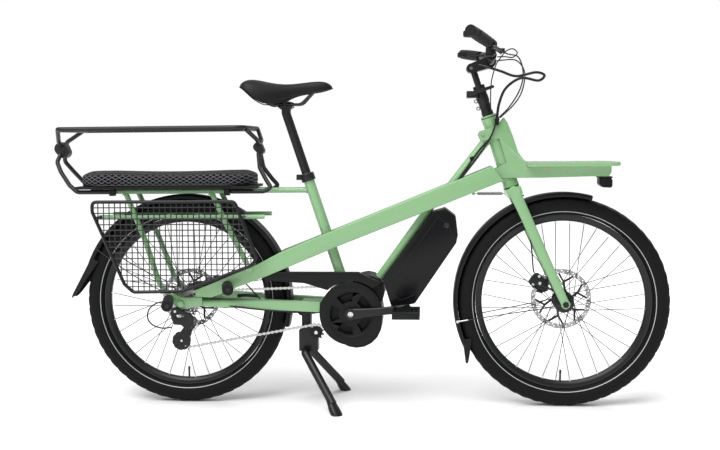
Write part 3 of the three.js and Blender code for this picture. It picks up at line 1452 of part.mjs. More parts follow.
function makeCollar() {
  const ring = (from, to, radius) => rod(at(seatPoint(from)), at(seatPoint(to)), radius, 12);
  const [from, to] = [seatTubeEnd - collarHeight, seatTubeEnd];
  const boltSpot = seatPoint((from + to) / 2);
  const lobe = block(
    boltSpot[0] - collarRadius - spindleRadius, boltSpot[0], -spindleRadius, spindleRadius,
    boltSpot[1] - collarHeight / 3, boltSpot[1] + collarHeight / 3,
  );
  const bore = ring(from - collarHeight, to + collarHeight, seatTubeRadius + gap);
  return cut(join(ring(from, to, collarRadius), lobe), bore);
}

// Fork
function makeFork() {
  const half = forkLegSpread + forkLegThickness / 2;
  const crown = slab([
    headPoint(-gap, -crownLength / 2), headPoint(-gap, crownLength / 2),
    headPoint(-crownHeight, crownLength / 2), headPoint(-crownHeight, -crownLength / 2),
  ], -half, half);
  const leg = linkOutline(headPoint(-crownHeight / 2), forkLegDepth / 2, frontHub, forkTipDepth / 2, 5);
  const near = forkLegSpread - forkLegThickness / 2;
  const parts = [crown, headAxis(-crownHeight / 2, headTubeLength + steererAbove, steererRadius, 10)];
  for (const side of [rightSide, leftSide]) {
    parts.push(sideSlab(side, leg, near, near + forkLegThickness));
    parts.push(sideDrum(side, frontHub, axleNutRadius, near, near + forkLegThickness + axleNutLength / 2, 6));
  }
  parts.push(drum(frontHub, axleRadius, -near - overrun, near + overrun, 12));
  const [[spotX, spotZ]] = arc(frontHub, rotorRadius - rotorBand / 2, frontCalliperAngle, frontCalliperAngle, 1);
  const crownMiddle = headPoint(-crownHeight / 2);
  const rise = (spotZ - frontHub[1]) / (crownMiddle[1] - frontHub[1]);
  const legSpot = [frontHub[0] + (crownMiddle[0] - frontHub[0]) * rise, spotZ];
  const tab = linkOutline([spotX, spotZ], calliperTabRadius, legSpot, calliperTabRadius, 4);
  parts.push(sideSlab(leftSide, tab, near, near + calliperTabThickness));
  const top = headTubeLength + steererAbove;
  const socket = headAxis(top - stemMastInset * 2, top + overrun, stemMastRadius + 2 * gap, 10);
  return cut(join(...parts), socket);
}

// Stem
const above = (distance, ahead = 0) => headPoint(headTubeLength + distance, ahead);
const barSpot = above(barRise, barAhead);
const stemRear = above(barRise, barAhead - stemHeadLength + stemHeadHeight);
const stemBox = above(stemBoxDistance, -stemBoxBehind);

function makeStemClamp() {
  const outer = rod(at(above(gap)), at(above(stemClampHeight)), stemClampRadius, 12, stemClampTopRadius);
  const box = block(
    stemBox[0] - stemBoxLength / 3, stemBox[0] + stemBoxLength, -stemBoxWidth / 2, stemBoxWidth / 2,
    stemBox[1] - stemBoxHeight / 2, stemBox[1] + stemBoxHeight / 2,
  );
  return cut(
    join(outer, box),
    headAxis(headTubeLength - overrun, headTubeLength + steererAbove + gap, steererRadius + 2 * gap, 10),
    headAxis(headTubeLength, headTubeLength + stemClampHeight + overrun, stemMastRadius + 2 * gap, 10),
    sideDrum(rightSide, stemBox, leverPinRadius + gap, stemBoxWidth / 4, stemBoxWidth, 10),
  );
}

function makeStemLever() {
  const tip = [
    stemBox[0] + stemLeverLength * headDirection[1],
    stemBox[1] - stemLeverLength * headDirection[0],
  ];
  const tipRadius = (stemLeverRadius + leverPinRadius) / 2;
  const face = stemBoxWidth / 2 + gap;
  return join(
    sideSlab(
      rightSide, linkOutline(stemBox, stemLeverRadius, tip, tipRadius, 4), face, face + stemLeverRadius,
    ),
    sideDrum(rightSide, stemBox, leverPinRadius, stemBoxWidth / 4 + gap, face + overrun, 10),
  );
}

// Handlebar: [ahead of the clamp, spread, above the clamp]
const gripInner = vector(barSpot[0] - gripSweep / 4, gripInnerSpread, barSpot[1] + gripInnerRise);
const gripOuter = vector(barSpot[0] - gripSweep * 5 / 4, gripOuterSpread, barSpot[1] + gripOuterRise);
const sided = (point, side) => vector(point.x, side * point.y, point.z);
const gripPoint = (side, share) => sided(gripInner.clone().lerp(gripOuter, share), side);

function barPoints(side) {
  return [
    vector(barSpot[0], side * stemHeadWidth, barSpot[1]),
    vector(barSpot[0], side * barShoulderSpread, barSpot[1] + barShoulderRise),
    sided(gripInner, side),
    sided(gripOuter, side),
  ];
}

const leverShare = (leverClampSpread - gripInnerSpread) / (gripOuterSpread - gripInnerSpread);
const leverRoot = (side) => gripPoint(side, leverShare);
const leverPivot = (side) => {
  const root = leverRoot(side);
  return vector(root.x + leverPivotAhead, root.y, root.z - leverPivotDrop);
};

function makeStem() {
  const half = stemHeadWidth / 2;
  const head = slab(
    linkOutline(barSpot, stemHeadHeight / 2, stemRear, stemHeadHeight * stemTailShare, 5), -half, half,
  );
  const mastFoot = headTubeLength + steererAbove - stemMastInset;
  const mast = headAxis(mastFoot, headTubeLength + barRise, stemMastRadius, 10);
  return cut(join(head, mast), drum(barSpot, barRadius + 2 * gap, -half - overrun, half + overrun, 12));
}

function makeHandlebar() {
  const points = [...barPoints(leftSide).reverse(), ...barPoints(rightSide)];
  const parts = [pipe(points, barRadius, barRadius * 3, 8, 1)];
  for (const side of [rightSide, leftSide]) {
    const root = leverRoot(side);
    const pivot = leverPivot(side);
    const half = leverBladeRadius + leverPinRadius;
    const [low, high] = [pivot.z - leverBladeRadius - gap, pivot.z + leverBladeRadius + gap];
    const [clampStart, clampEnd] = [-1, 1].map((end) =>
      vector(root.x, root.y + end * leverClampRadius / 2, root.z));
    parts.push(rod(clampStart, clampEnd, leverClampRadius, 9));
    const inner = root.y - side * 2 * leverPinRadius;
    parts.push(block(
      root.x + barRadius / 2, pivot.x - leverEyeRadius - gap,
      Math.min(inner, root.y), Math.max(inner, root.y),
      low - leverPinRadius, root.z + half / 2,
    ));
    const ear = (z0, z1) => block(
      pivot.x - leverPinRadius * 3, pivot.x + leverPinRadius * 2, root.y - half, root.y + half, z0, z1,
    );
    parts.push(ear(low - leverPinRadius, low));
    const pinFoot = vector(pivot.x, pivot.y, low - overrun);
    parts.push(rod(pinFoot, vector(pivot.x, pivot.y, high), leverPinRadius, 6));
  }
  return join(...parts);
}

function makeBrakeLever(side) {
  const pivot = leverPivot(side);
  const along = gripOuter.clone().sub(gripInner).normalize();
  const way = vector(along.x, side * along.y, 0).normalize();
  const knee = pivot.clone().addScaledVector(way, leverBladeLength * leverKneeShare);
  const tip = pivot.clone().addScaledVector(way, leverBladeLength);
  tip.x += leverBladeRadius * 2;
  const blade = pipe([pivot, knee, tip], leverBladeRadius, leverBladeRadius * 3, 6, 2);
  const upright = (half, radius) => rod(
    vector(pivot.x, pivot.y, pivot.z - half), vector(pivot.x, pivot.y, pivot.z + half), radius, 10,
  );
  const eye = upright(leverBladeRadius, leverEyeRadius);
  const bore = upright(leverBladeLength, leverPinRadius + gap);
  return cut(join(blade, eye), bore);
}

const gripStartShare = 0.06;
const palmPlaceShare = 0.72;

function makeGrip(side) {
  const [start, end] = [gripPoint(side, gripStartShare), gripPoint(side, 1)];
  const way = end.clone().sub(start).normalize();
  const body = rod(start, end.clone().addScaledVector(way, overrun), gripRadius, 12);
  const spot = gripPoint(side, palmPlaceShare);
  const palm = new THREE.CylinderGeometry(gripPaddle, gripPaddle, gripRadius, 14);
  palm.rotateX(90 * degree).translate(spot.x - gripRadius / 2, spot.y, spot.z);
  const boreStart = start.clone().addScaledVector(way, -overrun);
  const boreEnd = end.clone().addScaledVector(way, gap);
  const bore = rod(boreStart, boreEnd, barRadius + 2 * gap, 10);
  return cut(join(body, solidOf(palm)), bore);
}

const shifterSpot = (() => {
  const [, shoulder, inner] = barPoints(rightSide);
  return shoulder.clone().lerp(inner, shifterShare);
})();

function makeShifterPod() {
  const { x, y, z } = shifterSpot;
  const pod = rod(vector(x, y, z - shifterDrop), vector(x, y, z), shifterRadius, 10);
  const bore = rod(
    vector(x, y, z - shifterDrop - overrun), vector(x, y, z - shifterDrop / 2), leverPinRadius + gap, 10,
  );
  return cut(pod, bore);
}

function makeShiftLever() {
  const { x, y, z } = shifterSpot;
  const top = z - shifterDrop - gap;
  const tip = [x - shiftLeverLength, y - shifterRadius / 2];
  const outline = linkOutline([x, y], shiftEyeRadius, tip, leverPinRadius * 2, 5);
  const paddle = plate(outline, top - leverPinRadius, top);
  const pinTop = vector(x, y, z - shifterDrop + shiftPinLength);
  return join(paddle, rod(vector(x, y, top - overrun), pinTop, leverPinRadius, 10));
}

function makeDisplay() {
  const [start, end] = barPoints(rightSide);
  const way = end.clone().sub(start).normalize();
  const middle = start.clone().lerp(end, displayShare);
  const half = displayThickness / 2;
  const ring = (reach, radius) => rod(
    middle.clone().addScaledVector(way, -reach), middle.clone().addScaledVector(way, reach), radius, 12,
  );
  const screen = block(
    middle.x - half, middle.x + half, middle.y - displayLength / 2, middle.y + displayLength / 2,
    middle.z + barRadius, middle.z + barRadius + displayHeight,
  );
  return cut(join(ring(half, leverClampRadius), screen), ring(displayLength, barRadius + 2 * gap));
}

// Front rack: shares of its reach and height, from the bracket's rear and the skirt's lower edge
const skirtFootShare = 0.017; // lower edge of the skirt's front part
const frontRackOutlineShares = [
  [0.185, 1], [0.211, 0.915], [0.251, 0.682], [0.288, 0.42], [0.326, 0.301], [0.371, 0.235],
  [0.955, 0.235], [0.955, 0.085], [0.935, skirtFootShare], [0.8, skirtFootShare], [0.451, 0], [0.115, 0],
  [0.09, 0.04], [0.115, 0.142], [0.203, 0.25], [0.16, 0.585], [0.15, 0.653], [0.02, 0.62],
  [0, 0.72], [0.015, 0.78], [0.07, 0.818], [0.16, 0.926],
];
const ridgePoints = 6; // how many of them follow the mast's front
const trayRear = frontHub[0] - trayRearBehind;
const frontRackRear = frontHub[0] - frontRackBehind;
const trayFront = trayRear + trayLength;
const rackReach = trayFront - frontRackRear;
const rackBottom = trayHeight - trayThickness - skirtDrop + trayThickness / 2;
const frontRackOutline = frontRackOutlineShares.map(([along, up]) => [
  frontRackRear + along * rackReach, rackBottom + up * frontRackHeight,
]);

function trayOutline(inset) {
  const [x0, x1] = [trayRear + inset, trayFront - inset];
  const half = trayWidth / 2 - inset;
  const front = trayCorner - inset;
  const rear = trayCorner / 2 - inset / 2;
  return [
    ...arc([x1 - front, -half + front], front, -quarterTurn, 0, 3),
    ...arc([x1 - front, half - front], front, 0, quarterTurn, 3),
    ...arc([x0 + rear, half - rear], rear, quarterTurn, 2 * quarterTurn, 1),
    ...arc([x0 + rear, -half + rear], rear, 2 * quarterTurn, 3 * quarterTurn, 1),
  ];
}

function makeFrontRack() {
  const near = headTubeRadius + 2 * gap;
  const half = near + bracketThickness;
  const frame = slab(frontRackOutline, -half, half);
  const [rear, top] = [frontRackRear - overrun, rackBottom + frontRackHeight];
  const underside = trayHeight - trayThickness;
  const ridge = frontRackOutline.slice(0, ridgePoints).map(([x, z]) =>
    [x - ridgeThickness, Math.min(z, underside)]);
  const hollow = [
    [rear, top + overrun], [ridge[0][0], top + overrun], ...ridge,
    [trayFront, underside], [trayFront, 0], [rear, 0],
  ];
  const tray = plate(trayOutline(0), trayHeight - trayThickness, trayHeight);
  const rim = cut(
    plate(trayOutline(0), trayHeight - trayThickness - trayRim / 2, trayHeight),
    plate(trayOutline(trayRim), trayHeight - 2 * trayRim - trayThickness, trayHeight - trayThickness / 2),
  );
  const holes = [];
  for (const side of [rightSide, leftSide]) {
    for (let k = 0; k < trayHoleCount; k++) {
      const x = trayRear + trayCorner + k * (trayLength - 2 * trayCorner) / (trayHoleCount - 1);
      const y = side * (trayWidth / 2 - trayHoleInset);
      const below = vector(x, y, trayHeight - 4 * trayRim);
      holes.push(rod(below, vector(x, y, trayHeight + overrun), trayHoleRadius, 6));
    }
  }
  const boltSpot = [frontRackRear + rackBoltAhead, rackBottom + frontRackHeight * rackBoltShare];
  const bolt = drum(boltSpot, rackBoltRadius, -half - overrun, half + overrun, 8);
  return cut(
    join(cut(frame, slab(hollow, -near, near)), tray, rim, bolt), ...holes,
    beamSolid(rightSide, gap), beamSolid(leftSide, gap),
    headAxis(-overrun, headTubeLength + overrun, headTubeRadius + gap),
    rod(at(strutBottom), at(strutTop), upperStrutRadius + gap, 10),
  );
}

function makeHeadlamp() {
  const front = trayFront - lampBehindTray;
  const skirtFoot = rackBottom + frontRackHeight * skirtFootShare - gap;
  const reach = headTubeRadius + bracketThickness;
  const top = block(
    front - lampLength, front - lampBehindTray, -reach, reach, skirtFoot - bracketThickness, skirtFoot,
  );
  const centre = skirtFoot - bracketThickness - lampHeight / 2;
  const body = block(
    front - lampLength, front - overrun, -lampWidth / 2, lampWidth / 2,
    centre - lampHeight / 2, skirtFoot - bracketThickness / 2,
  );
  const lens = rod(vector(front - lampLength / 2, 0, centre), vector(front, 0, centre), lampLensRadius, 16);
  return join(top, body, lens);
}

// Brake callipers, straddling the rotors on the left
function makeCalliper(hub, angle, face) {
  const radius = rotorRadius - rotorBand / 2;
  const [spot] = arc(hub, radius, angle, angle, 1);
  const way = [Math.cos(angle * degree), Math.sin(angle * degree)];
  const corner = (out, along) => [
    spot[0] + way[0] * out - way[1] * along,
    spot[1] + way[1] * out + way[0] * along,
  ];
  const box = (out0, out1, along, y0, y1) => slab(
    [corner(out0, -along), corner(out1, -along), corner(out1, along), corner(out0, along)], y0, y1,
  );
  const [deep, half] = [calliperHeight / 2, calliperLength / 2];
  const slot = box(-deep - overrun, rotorBand / 2 + overrun, half + overrun,
    rotorOffset - calliperSlot / 2, rotorOffset + calliperSlot / 2);
  return cut(box(-deep * calliperInnerShare, deep, half, rotorOffset - calliperWidth / 2, face), slot);
}

// Steering spring
function makeSpring() {
  const end = 2 * springWireRadius;
  const coil = springLength - 2 * end - 2 * springCoilRadius;
  const stations = [];
  const spot = (u) => {
    const share = Math.min(Math.max(u / springTurns, 0), 1);
    const grow = Math.min(1, u * 2, (springTurns - u) * 2);
    const angle = 2 * Math.PI * u;
    return vector(
      springRear[0] + end + springCoilRadius + share * coil,
      grow * springCoilRadius * Math.sin(angle),
      springRear[1] + grow * springCoilRadius * Math.cos(angle),
    );
  };
  const along = vector(1, 0, 0);
  stations.push({ point: vector(springRear[0], 0, springRear[1]), tangent: along });
  stations.push({ point: vector(springRear[0] + end, 0, springRear[1]), tangent: along });
  const step = 1 / springCurlSteps;
  for (let k = 0; k <= springTurns * springCurlSteps; k++) {
    const u = k * step;
    const tangent = spot(u + step / 4).sub(spot(u - step / 4)).normalize();
    stations.push({ point: spot(u), tangent });
  }
  stations.push({ point: vector(springFront[0] - end, 0, springFront[1]), tangent: along });
  stations.push({ point: vector(springFront[0], 0, springFront[1]), tangent: along });
  let least = Infinity;
  stations.forEach((a, i) => {
    for (let k = i + springCurlSteps / 2; k < stations.length; k++) {
      least = Math.min(least, a.point.distanceTo(stations[k].point) - 2 * springWireRadius);
    }
  });
  console.log(`steering spring: least gap to itself ${least.toFixed(2)} mm`);
  return tube(stations, springWireRadius, springCurlSides);
}

// Cables
function makeCables() {
  const route = (points) => points.map(([ahead, y, z]) => vector(frontHub[0] + ahead, y, z));
  const { x, z } = route(bundleRoute)[bundleRoute.length - 1];
  const clipFace = headTubeRadius + 3 * gap + bracketThickness;
  const clip = block(
    x - clipLength / 2, x + clipLength / 2, -clipFace - clipWidth, -clipFace,
    z - clipHeight, z,
  );
  return join(
    clip,
    cable(route(bundleRoute), bundleRadius, 15, 5),
    cable(route(rightHoseRoute), thinCableRadius, 9, 4),
    cable(route(leftHoseRoute), thinCableRadius, 9, 4),
    cable(route(lowHoseRoute), hoseRadius, 7, 4),
  );
}

// Assembly: a group for each moving body, inside the group that carries it
function group(name, ...members) {
  const whole = new THREE.Group();
  whole.name = name;
  whole.add(...members);
  return whole;
}

const crankSet = group(
  'crank_set',
  piece('right_crank', makeRightCrank(), blackPaint),
  piece('left_crank', makeCrank(leftSide), blackPaint),
  group('right_pedal_set', piece('right_pedal', makePedal(rightSide), blackPlastic)),
  group('left_pedal_set', piece('left_pedal', makePedal(leftSide), blackPlastic)),
);

const rearWheelSet = group(
  'rear_wheel_set',
  piece('rear_tyre', makeTyre(rearHub), rubber),
  piece('rear_wheel', makeWheel(rearHub, rearFlangeSpread, cassetteEnd - gap, rearHubEnd), blackPaint),
  piece('rear_rotor', makeRotor(rearHub), steel),
);

const frontWheelSet = group(
  'front_wheel_set',
  piece('front_tyre', makeTyre(frontHub), rubber),
  piece('front_wheel', makeWheel(frontHub, frontFlangeSpread, frontHubEnd, frontHubEnd), blackPaint),
  piece('front_rotor', makeRotor(frontHub), steel),
);

const bars = group(
  'bars',
  piece('stem', makeStem(), blackPaint),
  piece('handlebar', join(makeHandlebar(), makeShifterPod()), blackPaint),
  piece('right_grip', makeGrip(rightSide), rubber),
  piece('left_grip', makeGrip(leftSide), rubber),
  piece('display', makeDisplay(), blackPlastic),
  group('right_brake', piece('right_brake_lever', makeBrakeLever(rightSide), blackPaint)),
  group('left_brake', piece('left_brake_lever', makeBrakeLever(leftSide), blackPaint)),
  group('shifter', piece('shift_lever', makeShiftLever(), blackPlastic)),
);

const frontCalliperFace = forkLegSpread - forkLegThickness / 2 - gap;
const crownFoot = headPoint(-crownHeight - gap);
const crownClearance = Math.hypot(crownFoot[0] - frontHub[0], crownFoot[1] - frontHub[1]) - fenderRadius;
const crownBoss = rod(
  at(crownFoot), at(headPoint(-crownHeight - gap - crownClearance - fenderThickness)), fenderBossRadius, 10,
);

const frontFender = makeFender(frontHub, frontFenderAngles, frontFlapLength, frontFlapFlare, [crownBoss]);

const steering = group(
  'steering',
  piece('fork', makeFork(), framePaint),
  piece('front_fender', frontFender, blackPlastic),
  piece('front_caliper', makeCalliper(frontHub, frontCalliperAngle, frontCalliperFace), blackPaint),
  piece('stem_clamp', makeStemClamp(), blackPaint),
  group('stem_lock', piece('stem_lever', makeStemLever(), blackPaint)),
  frontWheelSet,
  bars,
);

const rackBarFoot = [rearHub[0], rackRailHeight - spineRadius - gap];
const bridgeBack = [stayFront[0] - bridgeLength - gap, stayFront[1]];
const fenderCrest = [rearHub[0], rearHub[1] + fenderRadius - fenderThickness];
const rearFender = makeFender(rearHub, rearFenderAngles, rearFlapLength, rearFlapFlare, [
  rod(at(fenderCrest), at(rackBarFoot), fenderBossRadius, 10),
  rod(at([rearHub[0] + fenderRadius - overrun, bridgeBack[1]]), at(bridgeBack), fenderBossRadius, 10),
]);

const bike = group(
  'longtail_cargo_bike',
  piece('right_beam', makeBeam(rightSide), framePaint),
  piece('left_beam', makeBeam(leftSide), framePaint),
  piece('head_tube', makeHeadTube(), framePaint),
  piece('down_tube', makeDownTube(), framePaint),
  piece('seat_tube', makeSeatTube(), framePaint),
  piece('chain_stays', makeChainStays(), framePaint),
  piece('right_rack_frame', makeRackFrame(rightSide), framePaint),
  piece('left_rack_frame', makeRackFrame(leftSide), framePaint),
  piece('seat_board', makeSeatBoard(), blackPlastic),
  piece('passenger_cushion', makeCushion(), fabric),
  piece('passenger_rail', makeHoop(), railPaint),
  piece('rear_rail_legs', makeRailLegs(-1, rearLegRoute, couplingRearOut, couplingLength), railPaint),
  piece('front_rail_legs', makeRailLegs(1, frontLegRoute, couplingFrontOut, couplingFrontLength), railPaint),
  piece('right_net_panel', makeNetPanel(rightSide), railPaint),
  piece('rear_fender', rearFender, blackPlastic),
  piece('front_right_peg', makePeg(rightSide, frontPeg, beamInnerAtPeg), blackPlastic),
  piece('front_left_peg', makePeg(leftSide, frontPeg, beamInnerAtPeg), blackPlastic),
  piece('rear_right_peg', makePeg(rightSide, rearPeg, rackEyeFace), blackPlastic),
  piece('rear_left_peg', makePeg(leftSide, rearPeg, rackEyeFace), blackPlastic),
  piece('kickstand_bracket', makeStandBracket(), blackPaint),
  piece('chain_guard', makeChainGuard(), blackPlastic),
  piece('chain', makeChain(), steel),
  piece('derailleur', makeDerailleur(), blackPaint),
  piece('rear_caliper', makeCalliper(rearHub, rearCalliperAngle, rearCalliperFace), blackPaint),
  piece('drive_motor', makeMotor(), blackPaint),
  piece('battery', makeBattery(), blackPaint),
  piece('front_rack', makeFrontRack(), framePaint),
  piece('headlamp', makeHeadlamp(), blackPlastic),
  piece('seat_collar', makeCollar(), blackPaint),
  piece('control_cables', makeCables(), rubber),
  piece('steering_spring', makeSpring(), steel),
  group('seat', piece('seat_post', makePost(), blackPaint), piece('saddle', makeSaddle(), rubber)),
  group('stand', piece('kickstand', makeStand(), blackPaint)),
  crankSet,
  group('cassette_set', piece('cassette', makeCassette(), steel)),
  group('idler_set', piece('idler_pulley', makeIdler(), blackPlastic)),
  rearWheelSet,
  steering,
);

// The middle of the overall length goes to the origin
const rearmost = hoopEnd(-1) - couplingRearOut - couplingLength / 2;
const foremost = frontHub[0] + wheelRadius;
bike.position.x = -(rearmost + foremost) / 2;

export default bike;
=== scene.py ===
import math

import bmesh
import bpy
from mathutils import Matrix, Vector, geometry


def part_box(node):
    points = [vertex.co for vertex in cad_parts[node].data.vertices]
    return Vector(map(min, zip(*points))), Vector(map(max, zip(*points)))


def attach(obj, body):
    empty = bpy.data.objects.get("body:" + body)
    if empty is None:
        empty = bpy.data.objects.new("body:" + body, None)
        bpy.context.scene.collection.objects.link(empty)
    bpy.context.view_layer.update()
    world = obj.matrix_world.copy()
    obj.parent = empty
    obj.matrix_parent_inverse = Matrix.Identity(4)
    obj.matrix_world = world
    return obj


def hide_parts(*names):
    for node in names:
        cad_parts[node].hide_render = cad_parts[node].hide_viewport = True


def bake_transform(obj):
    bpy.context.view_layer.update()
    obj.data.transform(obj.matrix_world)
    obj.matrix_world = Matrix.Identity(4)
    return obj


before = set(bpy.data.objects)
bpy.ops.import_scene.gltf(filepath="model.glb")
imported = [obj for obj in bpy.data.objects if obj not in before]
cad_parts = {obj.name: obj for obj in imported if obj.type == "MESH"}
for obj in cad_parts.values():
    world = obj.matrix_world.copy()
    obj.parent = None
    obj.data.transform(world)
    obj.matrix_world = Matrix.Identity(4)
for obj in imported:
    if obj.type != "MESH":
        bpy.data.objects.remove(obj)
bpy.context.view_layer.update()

# Bicycle coordinates: millimetres from the middle of the wheelbase, the middle plane and the ground.
SHIFT = 48.75  # from here to the frame's own middle
REAR, FRONT = (-561.5, 308.5), (561.5, 308.5)  # axles
CRANK, IDLER = (-59.0, 279.0), (-163.0, 222.0)
CHAIN_Y = -52.0
HEAD_FOOT, HEAD_WAY, HEAD_LENGTH = (413.59, 644.89), (-0.3057, 0.95213), 222  # head tube
SEAT_WAY = (-0.31234, 0.94997)  # the seat tube, from the crank up
RACK_TOP, RACK_LOW, RACK_HALF, RACK_PIPE = 640, 565, 56, 6.5  # side rails' heights, spread and radius
RACK_FOOT, RACK_BACK, RACK_NOSE = (-591.5, 326.5), -835.5, -311.5
RACK_LEAN = (80.3 - RACK_HALF) / (RACK_TOP - RACK_FOOT[1])
DISC_BAND, FRONT_CALIPER, REAR_CALIPER = 82.5, 143, 30  # the calipers' radius and angles
SIDES = (-1, 1)
HANDS = ((-1, "right"), (1, "left"))
ACROSS = Vector((0, 1, 0))


def head_point(up, ahead=0.0):
    """A point measured along the steering axis and at right angles to it."""
    return (HEAD_FOOT[0] + HEAD_WAY[0] * up + HEAD_WAY[1] * ahead,
            HEAD_FOOT[1] + HEAD_WAY[1] * up - HEAD_WAY[0] * ahead)


def seat_point(up):
    return CRANK[0] + SEAT_WAY[0] * up, CRANK[1] + SEAT_WAY[1] * up


def at(xz, y=0.0):
    return Vector((xz[0], y, xz[1]))


def metres(x, y, z):
    return Vector(((x + SHIFT) / 1000, y / 1000, z / 1000))


def polar(centre, radius, degrees):
    a = math.radians(degrees)
    return centre[0] + radius * math.cos(a), centre[1] + radius * math.sin(a)


def arc(centre, radius, start, end, steps):
    return [polar(centre, radius, start + (end - start) * k / steps) for k in range(steps + 1)]


def circle(count, power=1.0):
    """Points of a unit circle, squared up by a power below 1."""
    turns = [polar((0, 0), 1, 360 * k / count) for k in range(count)]
    return [[math.copysign(abs(c) ** power, c) for c in turn] for turn in turns]


def mirror(half):
    """A whole profile from its (radius, y) half."""
    return [(r, -y) for r, y in half] + [(r, y) for r, y in half[::-1]]


def link_outline(a, ra, b, rb, steps):
    """Two round ends joined by straight sides."""
    way = math.degrees(math.atan2(b[1] - a[1], b[0] - a[0]))
    lean = math.degrees(math.acos((ra - rb) / math.dist(a, b)))
    return arc(a, ra, way + lean, way + 360 - lean, steps) + arc(b, rb, way - lean, way + lean, steps)


def bent(points, bend, steps=6, closed=False):
    """Straight runs with round bends between them."""
    points = [Vector(p) for p in points]
    path = []
    for i, p in enumerate(points):
        back, on = p - points[i - 1], points[(i + 1) % len(points)] - p
        turn = back.angle(on)
        if not closed and i in (0, len(points) - 1) or turn < 0.01:
            path.append(p)
            continue
        reach = min(bend * math.tan(turn / 2), 0.48 * back.length, 0.48 * on.length)
        start, end = p - back.normalized() * reach, p + on.normalized() * reach
        for k in range(steps + 1):
            t = k / steps
            path.append(start * (1 - t) ** 2 + p * 2 * t * (1 - t) + end * t ** 2)
    return path


def smooth(points, steps):
    """A smooth curve through the points."""
    pts = [Vector(p) for p in points]
    pts = [pts[0] * 2 - pts[1]] + pts + [pts[-1] * 2 - pts[-2]]
    path = []
    for i in range(1, len(pts) - 2):
        a, b, c, d = pts[i - 1:i + 3]
        for k in range(steps):
            t = k / steps
            path.append(0.5 * (2 * b + (c - a) * t + (2 * a - 5 * b + 4 * c - d) * t ** 2
                               + (3 * b - 3 * c + d - a) * t ** 3))
    return path + [pts[-2]]


class Shape:
    """Points in bicycle millimetres and faces, gathered into one mesh."""

    def __init__(self):
        self.points = []
        self.faces = []

    def add(self, points, faces):
        base = len(self.points)
        self.points += [Vector(p) for p in points]
        self.faces += [[base + i for i in face] for face in faces]
        return self

    def rings(self, rings, closed=False):
        count, total = len(rings[0]), len(rings)
        faces = []
        for i in range(total if closed else total - 1):
            a, b = i * count, (i + 1) % total * count
            faces += [[a + k, a + (k + 1) % count, b + (k + 1) % count, b + k] for k in range(count)]
        if not closed:
            faces += [list(range(count)), [(total - 1) * count + k for k in range(count)]]
        return self.add([p for ring in rings for p in ring], faces)

    def sweep(self, path, radius, sides=14, closed=False, section=None, up=None):
        path = [Vector(p) for p in path]
        n = len(path)
        ways = []
        for i in range(n):
            back = path[i] - path[i - 1] if closed or i else path[1] - path[0]
            on = path[(i + 1) % n] - path[i] if closed or i < n - 1 else path[i] - path[i - 1]
            ways.append((back.normalized() + on.normalized()).normalized())
        normal = Vector(up) if up else ways[0].orthogonal()
        rings = []
        for i, (p, way) in enumerate(zip(path, ways)):
            if i and not up:
                normal = ways[i - 1].rotation_difference(way) @ normal
            normal = (normal - way * normal.dot(way)).normalized()
            side = way.cross(normal)
            r = radius[i] if isinstance(radius, (list, tuple)) else radius
            rings.append([p + normal * (u * r) + side * (v * r) for u, v in section or circle(sides)])
        return self.rings(rings, closed)

    def pipe(self, points, radius, bend, sides=14, steps=6, closed=False):
        return self.sweep(bent(points, bend, steps, closed), radius, sides, closed)

    def hose(self, points, radius, steps=12, sides=14):
        return self.sweep(smooth(points, steps), radius, sides)

    def rod(self, a, b, r, r2=None, sides=24):
        return self.sweep([a, b], [r, r if r2 is None else r2], sides)

    def lathe(self, profile, centre, steps=64):
        """A closed profile of (radius, y) turned about a Y line through centre."""
        rings = [[at(polar(centre, r, 360 * k / steps), y) for r, y in profile] for k in range(steps)]
        return self.rings(rings, closed=True)

    def drum(self, centre, radius, y0, y1, sides=32):
        return self.rod(at(centre, y0), at(centre, y1), radius, sides=sides)

    def slab(self, outline, y0, y1, holes=()):
        """A flat outline with holes, between two levels of y."""
        if not holes:
            return self.rings([[at(p, y) for p in outline] for y in (y0, y1)])
        loops = [outline, *holes]
        cap = geometry.tessellate_polygon([[Vector((*p, 0)) for p in loop] for loop in loops])
        n, base = sum(map(len, loops)), 0
        faces = [list(t) for t in cap] + [[i + n for i in t] for t in cap]
        for m in map(len, loops):
            faces += [[base + k, base + (k + 1) % m, base + n + (k + 1) % m, base + n + k] for k in range(m)]
            base += m
        return self.add([at(p, y) for y in (y0, y1) for loop in loops for p in loop], faces)

    def box(self, low, high):
        (x0, y0, z0), (x1, y1, z1) = low, high
        return self.slab([(x0, z0), (x1, z0), (x1, z1), (x0, z1)], y0, y1)

    def bead(self, centre, way, radius, size=1.8, steps=44):
        """A rippled weld bead round a tube."""
        way = Vector(way).normalized()
        u = way.orthogonal().normalized()
        v = way.cross(u)
        path = [centre + (u * c + v * s) * radius for c, s in circle(steps)]
        return self.sweep(path, [size * (1 + 0.18 * (k % 2)) for k in range(steps)], 8, closed=True)

    def make(self, name, mat, node=None, body="frame", bevel=0.0, segments=2, angle=30, slot=None, subdivide=0):
        """One piece on a body, in place of a CAD node."""
        mesh = bpy.data.meshes.new(name)
        mesh.from_pydata([metres(*p) for p in self.points], [], self.faces)
        bm = bmesh.new()
        bm.from_mesh(mesh)
        bmesh.ops.recalc_face_normals(bm, faces=bm.faces)
        bm.to_mesh(mesh)
        bm.free()
        obj = bpy.data.objects.new(name, mesh)
        bpy.context.scene.collection.objects.link(obj)
        mesh.materials.append(mat)
        dress(obj, bevel, segments, angle, subdivide)
        if body:
            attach(obj, body)
        if node:
            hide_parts(node)
        return obj


def settle(thing, **settings):
    """Writes several settings in one go."""
    for key, value in settings.items():
        setattr(thing, key, value)
    return thing


